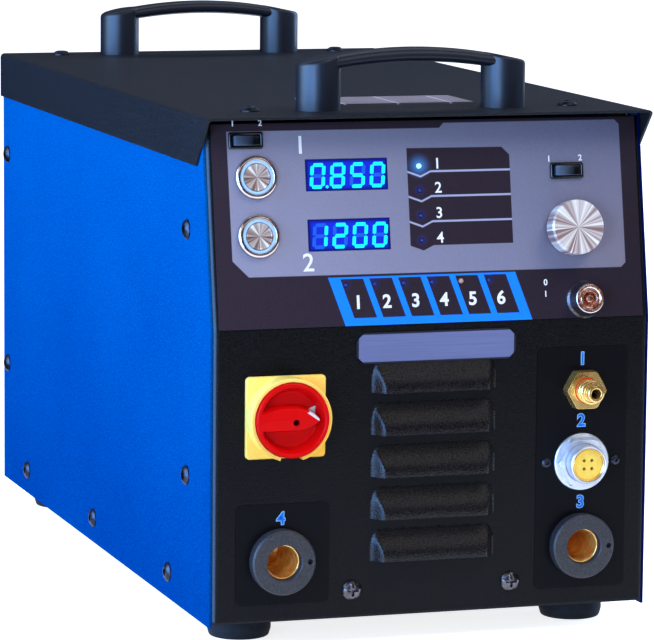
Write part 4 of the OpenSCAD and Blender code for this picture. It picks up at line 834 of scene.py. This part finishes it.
frame_tiers = [(0.2, 0.2, 0.1, -13.0), (19.6, 8.6, 0.5, -13.0), (19.6, 8.6, 0.5, film),
               (21.0, 10.0, 1.2, film), (21.0, 10.0, 1.2, 1.2), (20.7, 9.7, 1.2, 1.7),
               (20.1, 9.1, 1.1, 2.0), (19.2, 8.2, 0.9, 2.1),
               (18.2, 7.2, 0.7, 1.9), (17.5, 6.5, 0.5, 1.4), (17.4, 6.4, 0.4, 0.9), (17.4, 6.4, 0.4, -11.9),
               (0.2, 0.2, 0.1, -11.9)]
switch_black = mottled("switch_black", {"Specular IOR Level": 0.5}, (4, 5, 8), (12, 14, 20), 500.0,
                       dull=(0.16, 0.14))
make_piece("rocker_rims", [on_fascia(tiers(frame_tiers), *at) for at in rocker_places.values()], switch_black,
           "chassis", ["rocker_frames"], 50)
for body, at in rocker_places.items():
    paddle_black, place = finish(body + "_black", {"Specular IOR Level": 0.5})
    paddle_speckle = place.noise(500.0)
    # Painted highlight: each paddle is lit blue-grey towards its left, where the light comes from.
    painted_highlight = (place.along((-1 / MM, 0, 0)) + at[0]).step(1.0, 12.0) * (0.8 + paddle_speckle * 0.4)
    painted_highlight.tint((5, 6, 9), (74, 92, 122)).feed("Base Color")
    (0.16 + paddle_speckle * 0.14).feed("Roughness")
    make_piece(body + "_paddle", [on_fascia(paddle(), *at)], paddle_black, body, [body], 40)


# The dial: a solid turned aluminium knob with a chamfered edge and a spun face, pushed on its shaft.
dial_x = 89.7
dial_s = 54.6
dial_radius = 16.5
dial_low = 2.0
dial_high = 13.0
knob = eased([(0, dial_low + 8.0), (3.05, dial_low + 8.0), (3.05, dial_low + 4.5), (12.4, dial_low + 4.5),
              (12.4, dial_low), (dial_radius, dial_low), (dial_radius, dial_high - 1.4),
              (dial_radius - 1.2, dial_high), (dial_radius - 1.6, dial_high - 0.1)], 0.25).tolist()
knob += spun(dial_radius - 1.7, dial_high - 0.1, 0.8, 0.015)
# The dial's spun face carries a painted sheen with painted highlight beams.
dial_highlight_beams = [(math.radians(angle), width) for angle, width in
              ((96, 0.09), (138, 0.06), (-40, 0.12), (70, 0.04), (4, 0.05))]
spun_dial = painted_spun_sheen("dial_spun", dial_x, dial_s, screen(140, 108, 106), screen(255, 255, 255),
                        dial_highlight_beams, 3.4, 0.34)
make_piece("dial_face", [on_fascia(turned(knob, 96), dial_x, dial_s)], spun_dial, "dial",
           ["dial_knob"], 60)


# The key switch: a chrome cone on the film with a tubular lock barrel that turns a quarter.
key_x = 95.8
key_s = 11.5
cone = eased([(0, -23.5), (8.0, -23.5), (8.0, film), (11.6, film), (11.6, 1.4), (10.3, 3.6),
              (9.0, 10.0), (8.6, 10.8), (6.9, 10.8), (6.1, 10.2), (6.1, -7.0), (0, -7.0)], 0.5)
barrel = eased([(0, -6.9), (6.0, -6.9), (6.0, 10.0), (5.6, 10.6), (4.4, 10.6), (4.1, 9.8), (4.1, 5.6),
                (2.5, 5.6), (2.4, 9.6), (2.0, 10.4), (0, 10.4)], 0.25)
make_piece("key_switch_cone", [on_fascia(turned(cone), key_x, key_s)], chrome, "chassis",
           ["key_switch_body"])
lock_metal, place = finish("lock_barrel", {"Metallic": 0.8})
smear = place.noise(500.0)
smear.step(0.5, 0.3).tint((184, 66, 26), (255, 214, 186)).feed("Base Color")
(0.08 + smear * 0.14).feed("Roughness")
face_ring = eased([(6.6, 10.7), (8.3, 10.7), (8.3, 10.95), (8.0, 11.0), (7.0, 11.0), (6.6, 10.7)], 0.1)
make_piece("key_switch_face", [on_fascia(turned(face_ring), key_x, key_s)], lock_metal, "chassis")
slot_bar = plate([(-0.6, 2.2), (0.6, 2.2), (0.6, 4.3), (-0.6, 4.3)], 5.6, 10.0)
make_piece("key_barrel", [on_fascia(turned(barrel), key_x, key_s), on_fascia(slot_bar, key_x, key_s)],
           lock_metal, "key", ["key_rotor"])


# The main switch: a yellow moulded plate with a raised collar, and a red round handle with two scooped
# hollows beside its grip bar. A white wedge on the bar's tip points at the switch's state.
switch_x = -92.9
switch_z = 139.5
plate_side = 49.0
plate_thick = 3.0
collar_radius = 24.8
collar_wall = 2.2
collar_high = 14.7
red_radius = 22.2
red_low = 7.0
red_top = 18.0
scoop_deep = 8.0
hub_x = 1.8
hub_z = -1.0


def on_front(points, x, z, rise=0.0):
    """Local points set on the front panel's lower part, that far out of it."""
    return placed(points + [0, 0, rise], (x, front_y, z), (1, 0, 0), (0, 0, 1))


def arc_ring(profile, start, stop, steps=90):
    """A closed profile turned from one angle to another, with a fan of faces closing each end."""
    ring = np.array(profile + profile[:1], float)
    angle = np.linspace(start, stop, steps)[None]
    radius, height = ring.T[:, :, None]
    body = np.stack([radius * np.cos(angle), radius * np.sin(angle), height + 0 * angle], -1)
    ends = [np.broadcast_to(body[:-1, k].mean(0), body[:, k].shape)[:, None] for k in (0, -1)]
    return np.concatenate([ends[0], body, ends[1]], 1)


yellow, place = finish("switch_yellow", {"Specular IOR Level": 0.2, "Roughness": 0.32})
x = place.along((1 / MM, 0, 0)) - switch_x
z = place.along((0, 0, 1 / MM)) - switch_z
# Painted light: the plate is paler towards its upper left, where the light falls, and more orange towards its
# lower right.
painted_light_tone = 0.2 + place.noise(60.0, 3.0) * 0.6 - x * 0.012 + z * 0.012
painted_light_tone.tint((250, 190, 66), (255, 226, 122)).feed("Base Color")
place.noise(2200.0).bump(0.00004).feed("Normal")
collar = eased([(collar_radius, plate_thick - 0.4), (collar_radius, collar_high),
                (collar_radius - collar_wall, collar_high), (collar_radius - collar_wall, plate_thick - 0.4)],
               0.4).tolist()
gap = math.asin(7.0 / collar_radius)
plate_corner = 2.4
base_plate = plate(rounded_box(plate_side, plate_side, plate_corner), 0.0, plate_thick, 0.7)
switch_plate = [on_front(base_plate, switch_x, switch_z),
                on_front(arc_ring(collar, -math.pi / 2 + gap, 1.5 * math.pi - gap), switch_x, switch_z)]
make_piece("switch_plate", switch_plate, yellow, "chassis", ["isolator_plate"], 40)


def scooped(across, up):
    """The handle's height: the rim and the grip bar stand high, and smooth hollows sink between them."""
    left = np.minimum(across + 2, 0)
    right = np.maximum(across + 2, 0)
    upper = 7 - 3.3 * (left / 18) ** 2 - 7 * (right / 18.5) ** 2.6
    lower = -5.3 + 5.3 * (np.maximum(across, 0) / 16) ** 3
    from_bar = np.maximum(up - upper, lower - up)
    from_rim = red_radius - 1.9 - np.hypot(across, up)
    sink = np.clip(np.minimum(from_bar / 2.2, from_rim / 4.0), 0, 1)
    ridge = 0.5 * np.clip(1 - np.abs(up - (upper + lower) / 2) / 7, 0, 1)
    edge = 0.8 * np.clip((np.hypot(across, up) - red_radius + 0.9) / 0.9, 0, 1) ** 2
    bore = 3.5 * (np.hypot(across - hub_x, up - hub_z) < 1.9)
    return red_top - 0.5 + ridge - edge - bore - scoop_deep * sink * sink * (3 - 2 * sink)


angle = np.linspace(0, 2 * np.pi, 193)[None]
spread = np.linspace(red_radius, 0, 70)[:, None]
across, up = spread * np.cos(angle), spread * np.sin(angle)
face = np.stack([across, up, scooped(across, up)], -1)
skirt = turned([(0, red_low), (red_radius, red_low), (red_radius, red_low + 0.5)], 192)
red_handle = np.concatenate([skirt, face])
red, place = finish("switch_red", {"Specular IOR Level": 0.05, "Roughness": 0.3})
x = place.along((1 / MM, 0, 0)) - switch_x
z = place.along((0, 0, 1 / MM)) - switch_z
wedge = inside(x, z, [(8.5, 4.6), (15.8, -0.4), (15.6, 7.4)])
# Painted shade: the bore in the handle is laid nearly black.
painted_bore_shade = (x - hub_x).maths("POWER", 2.0) + (z - hub_z).maths("POWER", 2.0)
haze = place.noise(90.0, 3.0)
tint = haze.tint((190, 5, 7), (216, 10, 12))
tint = wedge.blend(tint, screen(206, 206, 214))
painted_bore_shade.step(3.6, -0.6).blend(tint, screen(24, 6, 8)).feed("Base Color")
place.noise(2200.0).bump(0.00004).feed("Normal")
make_piece("switch_handle", [on_front(red_handle, switch_x, switch_z)], red, "main_switch",
           ["isolator_handle"], 50)


# The weld sockets: black moulded collars with a ribbed edge, on black labels, each round a brass sleeve
# whose bore takes the plug of a weld cable.
socket_z = 53.1
collar_wide = 19.6
collar_front = 8.5
sleeve_radius = 12.3
key_hole_x = 15.95
key_hole_radius = 1.5
key_hole_deep = 3.0
moulded, place = finish("moulded_black", {"Specular IOR Level": 0.4})
pit = place.noise(1400.0)
pit.step(0.55, 0.5).tint((15, 15, 19), (60, 59, 68)).feed("Base Color")
(0.38 + pit * 0.25).feed("Roughness")
pit.bump(0.00012, place.soft_edges(0.0004)).feed("Normal")
brass = mottled("brass", {"Metallic": 0.85}, (214, 158, 78), (255, 222, 146), 120.0, 3.0,
                (0.12, 0.14), 0.0003)

bore_brass, place = finish("bore_brass", {"Metallic": 0.5})
stain = place.noise(160.0, 4.0)
stain.step(0.5, 0.5).tint((232, 132, 34), (255, 232, 146)).feed("Base Color")
(0.12 + stain * 0.2).feed("Roughness")
place.noise(130.0, 3.0).bump(0.002).feed("Normal")

rim = eased([(12.4, -12.0), (15.5, -12.0), (15.5, label_thick), (collar_wide, label_thick),
             (collar_wide, collar_front - 1.0), (collar_wide - 1.0, collar_front), (11.2, collar_front),
             (10.7, collar_front - 0.6), (10.1, 4.1), (12.4, 4.1), (12.4, -12.0)], 0.3)
sleeve = eased([(0, -61.0), (6.0, -61.0), (6.0, -39.0), (sleeve_radius, -39.0), (sleeve_radius, 3.6),
                (11.9, 4.0), (9.9, 4.0), (9.5, 3.6), (9.5, -36.0), (0, -36.0)], 0.3)
face_steps = [(radius, collar_front) for radius in np.linspace(18.2, 11.6, 36)]
cut = int(np.argmax(np.hypot(rim[:, 0] - 11.2, rim[:, 1] - collar_front) < 0.45))
ribs = turned(np.concatenate([rim[:cut], face_steps, rim[cut:]]), 240)
ripple = 1 + 0.008 * np.cos(np.arctan2(ribs[..., 1], ribs[..., 0]) * 60)
outer = np.hypot(ribs[..., 0], ribs[..., 1]) > collar_wide - 0.3
ribs[..., :2] *= np.where(outer, np.minimum(ripple, 1.0), 1.0)[..., None]
hole = np.hypot(ribs[..., 0] - key_hole_x, ribs[..., 1]) < key_hole_radius
ribs[..., 2] -= key_hole_deep * (hole & (ribs[..., 2] > collar_front - 0.1))
make_piece("socket_rims", [on_front(ribs, x, socket_z) for x in (-socket_x, socket_x)], moulded, "chassis",
           ["socket_collars"], 50)
for name, x in (("ground_socket", -socket_x), ("gun_socket", socket_x)):
    make_piece(name + "_sleeve", [on_front(turned(sleeve), x, socket_z)], bore_brass, "chassis",
               [name + "_contact"], 50)
label_film = mottled("label_black", {"Specular IOR Level": 0.06}, (5, 5, 7), (17, 17, 22), 1500.0,
                     dull=(0.3, 0.12))
dress(label_film, "socket_labels")
port_marks = [("1", 94.7, 166.9), ("2", 94.6, 129.1), ("3", 94.9, 79.2), ("4", -94.9, 78.3)]
for name, low, high, bold, lift in (("port_outlines", (120, 172, 232), (150, 200, 250), 0.55, 0.0),
                                    ("port_numbers", (12, 96, 200), (24, 116, 222), 0.15, 0.05)):
    ink = mottled(name, {"Roughness": 0.45, "Specular IOR Level": 0.1}, low, high, 600.0)
    mesh = numerals(port_marks, 10.4, on_front, label_thick + lift, bold)
    settle(name, mesh, ink, "chassis", (), 30)


# The gas fittings: turned brass with a chamfered hexagon, a grooved neck and a hollow nose, one on the
# front and one on the rear, with valve and pipes between them.
gas_z = 148.8
rear_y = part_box("rear_panel")[1].y / MM


def on_rear(points, x, z, rise=0.0):
    """Local points set on the rear panel, that far out of it."""
    return placed(points + [0, 0, rise], (x, rear_y, z), (-1, 0, 0), (0, 0, 1))


gas_hexagon = [(3.0, 0.0), (12.6, 0.0), (14.0, 0.5), (14.0, 8.0), (12.3, 8.5), (6.0, 8.5)]
gas_neck = eased([(7.4, 8.4), (7.4, 13.0), (6.4, 13.4), (6.4, 14.8), (7.4, 15.2), (7.4, 16.4), (6.6, 17.0),
                  (5.2, 17.0), (5.2, 22.9), (4.6, 23.5), (3.4, 23.5), (3.0, 23.0), (3.0, -26.0),
                  (8.0, -26.0), (8.0, 0.2)], 0.3)
gas_grids = [turned(gas_hexagon, 72, 22.2), turned(gas_neck[::-1])]
gas_pieces = [on_front(grid, socket_x, gas_z, label_thick) for grid in gas_grids]
gas_pieces += [on_rear(grid, socket_x, gas_z) for grid in gas_grids]
seal = turned([(7.3, 8.4), (7.75, 8.4), (7.75, 8.75), (7.3, 8.75)])
make_piece("gas_seal", [on_front(seal, socket_x, gas_z, label_thick)], red, "chassis")
make_piece("gas_nipples", gas_pieces, brass, "chassis", ["gas_fittings"], 30)


# The control connector: a plated shell with a flange, a chamfered nut on its thread, a gold contact ring
# and a yellow insert with four pin holes.
plated = mottled("connector_metal", {"Metallic": 0.75}, (186, 190, 202), (226, 230, 240), 260.0, 3.0,
                 (0.22, 0.2), 0.0003)
shell = eased([(10.2, -20.0), (12.0, -20.0), (12.0, 0.0), (17.5, 0.0), (17.5, 1.2), (16.9, 1.8), (11.6, 1.8),
               (11.6, 13.3), (11.0, 14.0), (10.6, 14.0), (10.2, 13.6), (10.2, -20.0)], 0.3)
hexagon_nut = [(11.65, 1.8), (16.0, 1.8), (17.5, 2.3), (17.5, 5.2), (15.4, 5.8), (12.4, 5.8), (11.65, 5.2),
               (11.65, 1.8)]
make_piece("connector_barrel", [on_front(turned(shell), socket_x, connector_z, label_thick)], plated,
           "chassis", ["connector_shell"], 40)
make_piece("connector_hexagon", [on_front(turned(hexagon_nut, 72, 28.0), socket_x, connector_z, label_thick)],
           plated, "chassis", ["connector_nut"], 30)
gold_ring = eased([(8.9, 11.9), (10.15, 11.9), (10.15, 13.2), (9.6, 13.5), (8.9, 12.5), (8.9, 11.9)], 0.15)
make_piece("connector_contact_ring", [on_front(turned(gold_ring), socket_x, connector_z, label_thick)], brass,
           "chassis", (), 40)
insert = mottled("insert_yellow", {"Specular IOR Level": 0.2, "Roughness": 0.4}, (228, 184, 60),
                 (250, 220, 110), 300.0, edge=0.0003)
dress(insert, "connector_insert")


# The plates: the bare name plate under the bend, with a thin dark border, and the rating plate on the
# cover, with plain rows and columns. Both are printed metal foil, glued on.
name_plate_x = 1.4
name_plate_z = 178.3
name_plate_half = (48.9, 8.2)
cover_plate_from = 250.0
foil, place = finish("plate_grey", {"Specular IOR Level": 0.1})
x = place.along((1 / MM, 0, 0))
z = place.along((0, 0, 1 / MM))
grain = place.stretched((20.0, 400.0, 1200.0)).noise(1.0, 3.0)
border = abs(x - name_plate_x).step(name_plate_half[0], 0.4)
border = border.either(abs(z - name_plate_z).step(name_plate_half[1], 0.4))
border = border.both(z.step(cover_plate_from, -1.0))
face = grain.tint((86, 92, 132), (112, 118, 160))
rows = (place.along((0, 1 / 0.006, 0)).maths("FRACT")).step(0.24, -0.1)
columns = (place.along((1 / 0.034, 0, 0)).maths("FRACT")).step(0.05, -0.04)
table = rows.either(columns).tint((104, 90, 96), (190, 182, 190))
face = z.step(cover_plate_from, 1.0).blend(face, table)
border.blend(face, screen(34, 34, 46)).feed("Base Color")
(0.32 + grain * 0.2).feed("Roughness")
dress(foil, "blank_plates")


# The works inside: boards, transformer, capacitors, deck, heat sink and gas valve, seen only through the
# louvres and the fan. Their plain finishes follow what each is made of.
works = [
    ("zinc_steel", 1.0, (150, 150, 150), (196, 194, 188), 90.0, 0.25,
     ["top_rails", "foot_screws", "encoder_body", "encoder_plunger", "dial_shaft", "isolator_shaft",
      "lock_nuts", "fan_guard", "fan_screws", "deck"]),
    ("moulded_works", 0.0, (16, 16, 19), (36, 37, 42), 700.0, 0.4,
     ["isolator_block", "fan_frame", "fan_rotor", "power_modules", "cable_gland"]),
    ("board_green", 0.0, (12, 66, 38), (24, 92, 54), 200.0, 0.3, ["circuit_boards"]),
    ("works_brass", 1.0, (186, 138, 66), (226, 184, 104), 200.0, 0.25, ["board_standoffs"]),
    ("sink_aluminium", 1.0, (170, 172, 176), (206, 208, 212), 60.0, 0.35, ["heatsink"]),
    ("core_steel", 0.6, (52, 50, 50), (84, 82, 80), 80.0, 0.5, ["transformer_core"]),
    ("copper", 1.0, (168, 88, 46), (214, 128, 78), 150.0, 0.25, ["transformer_windings", "output_busbars"]),
    ("can_blue", 0.0, (16, 30, 74), (30, 52, 112), 40.0, 0.3, ["capacitors"]),
    ("valve_grey", 0.3, (86, 88, 92), (122, 124, 128), 120.0, 0.4, ["gas_valve"]),
    ("pipe_plastic", 0.0, (36, 60, 120), (58, 88, 156), 100.0, 0.3, ["gas_pipes"]),
]
for name, metal, low, high, scale, dull, nodes in works:
    dress(mottled(name, {"Metallic": metal}, low, high, scale, 3.0, (dull, 0.2), 0.0004), *nodes)


# The stage: a white floor and a white surround, a warm lamp above right, cool lamps in front and on both
# sides, cards that only gloss reflects, and the camera where the photograph was taken.
def whiteness(wire):
    """1 for the rays that see the backdrop itself: from the camera, off gloss or through glass."""
    rays = [wire.add("ShaderNodeLightPath", {}, {}, kind) for kind in
            ("Is Camera Ray", "Is Glossy Ray", "Is Transmission Ray")]
    return rays[0].either(*rays[1:])


scene = bpy.context.scene
scene.view_settings.view_transform = "Standard"
world = bpy.data.worlds.new("surround")
scene.world = world
world.use_nodes = True
tree = world.node_tree
sky = whiteness(Wire(tree)).blend((0.42, 0.45, 0.52, 1.0), (1.0, 1.0, 1.0, 1.0))
tree.links.new(sky.socket, tree.nodes["Background"].inputs["Color"])

floor_half = 6000.0
floor_paint, place = finish("floor_white", {
    "Base Color": (0.8, 0.8, 0.8, 1.0), "Roughness": 0.9, "Specular IOR Level": 0.0,
    "Emission Color": (1.0, 1.0, 1.0, 1.0)})
(whiteness(place) * 0.8).feed("Emission Strength")
floor_mesh = bpy.data.meshes.new("floor")
corner = floor_half * MM
floor_corners = [(-corner, -corner, 0), (corner, -corner, 0), (corner, corner, 0), (-corner, corner, 0)]
floor_mesh.from_pydata(floor_corners, [], [(0, 1, 2, 3)])
floor_mesh.materials.append(floor_paint)
floor = bpy.data.objects.new("floor", floor_mesh)
scene.collection.objects.link(floor)


def lamp(name, where, target, size, power, colour):
    """A square area lamp that faces a point."""
    light = bpy.data.lights.new(name, "AREA")
    light.size = size
    light.energy = power
    light.color = colour
    holder = bpy.data.objects.new(name, light)
    scene.collection.objects.link(holder)
    holder.location = where
    way = Vector(target) - Vector(where)
    holder.rotation_euler = way.to_track_quat("-Z", "Y").to_euler()


lamp("key_lamp", (0.9, -1.2, 2.0), (0.0, -0.1, 0.15), 1.0, 34.0, (1.0, 0.96, 0.91))
lamp("front_lamp", (-1.6, -1.9, 0.36), (0.0, -0.1, 0.15), 0.7, 20.0, (0.66, 0.84, 1.0))
lamp("window_lamp", (-2.6, -0.15, 0.9), (0.0, 0.0, 0.15), 1.8, 140.0, (0.25, 0.54, 1.0))
lamp("right_lamp", (2.6, 0.5, 0.9), (0.0, 0.0, 0.15), 1.8, 120.0, (0.3, 0.56, 1.0))


def card(name, centre, across, upward, colour):
    """A card that only gloss reflects: its corners are the centre, plus and minus two half sides."""
    paint = finish(name, {"Base Color": (0.0, 0.0, 0.0, 1.0), "Specular IOR Level": 0.0,
                          "Emission Color": colour, "Emission Strength": 1.0})[0]
    signs = np.array([(-1, -1), (1, -1), (1, 1), (-1, 1)], float)
    corners = np.array(centre, float) + signs @ np.array([across, upward], float)
    mesh = bpy.data.meshes.new(name)
    mesh.from_pydata(corners.tolist(), [], [(0, 1, 2, 3)])
    mesh.materials.append(paint)
    sheet = bpy.data.objects.new(name, mesh)
    scene.collection.objects.link(sheet)
    sheet.visible_camera = False
    sheet.visible_diffuse = False
    sheet.visible_shadow = False


cool_dark = (0.012, 0.016, 0.028, 1.0)
warm_dark = (0.05, 0.035, 0.03, 1.0)
window_blue = (2.8, 6.8, 16.0, 1.0)
card("rear_card", (-0.4, 2.2, 1.0), (2.8, 0, 0), (0, 0, 1.0), (0.03, 0.045, 0.08, 1.0))
card("left_floor_card", (-1.7, 1.4, 0.002), (1.5, 0, 0), (0, 1.5, 0), cool_dark)
card("front_floor_card", (0.0, -2.6, 0.002), (2.5, 0, 0), (0, 1.7, 0), cool_dark)
card("front_card", (0.2, -4.4, 1.2), (3.0, 0, 0), (0, 0, 1.2), cool_dark)
card("window_card", (-1.87, -1.43, 0.45), (0.48, -0.77, 0), (0, 0, 0.45), window_blue)
card("window_floor_card", (-1.45, -1.25, 0.004), (0.9, 0, 0), (0, 0.8, 0), window_blue)
card("right_card", (1.3, -0.8, 0.9), (0, 1.4, 0), (0, 0, 0.9), warm_dark)
card("ceiling_card", (0.3, -0.6, 1.7), (1.6, 0, 0), (0, 1.4, 0), cool_dark)

focal_pixels = 3990.0
image_width = 654.0
camera_place = np.array([-783.5, -2480.2, 524.7])
yaw, pitch, roll = (math.radians(value) for value in (17.91, 8.03, -0.52))
ahead = np.array([math.sin(yaw) * math.cos(pitch), math.cos(yaw) * math.cos(pitch), -math.sin(pitch)])
level = np.array([math.cos(yaw), -math.sin(yaw), 0.0])
below = np.cross(ahead, level)
right = math.cos(roll) * level + math.sin(roll) * below
down = -math.sin(roll) * level + math.cos(roll) * below
view = bpy.data.cameras.new("view")
view.sensor_fit = "HORIZONTAL"
view.sensor_width = 36.0
view.lens = view.sensor_width * focal_pixels / image_width
view.clip_start = 0.1
view.clip_end = 50.0
camera = bpy.data.objects.new("view", view)
scene.collection.objects.link(camera)
turn = np.eye(4)
turn[:3, 0], turn[:3, 1], turn[:3, 2], turn[:3, 3] = right, -down, -ahead, camera_place * MM
camera.matrix_world = Matrix(turn.tolist())
scene.camera = camera

bpy.context.view_layer.update()
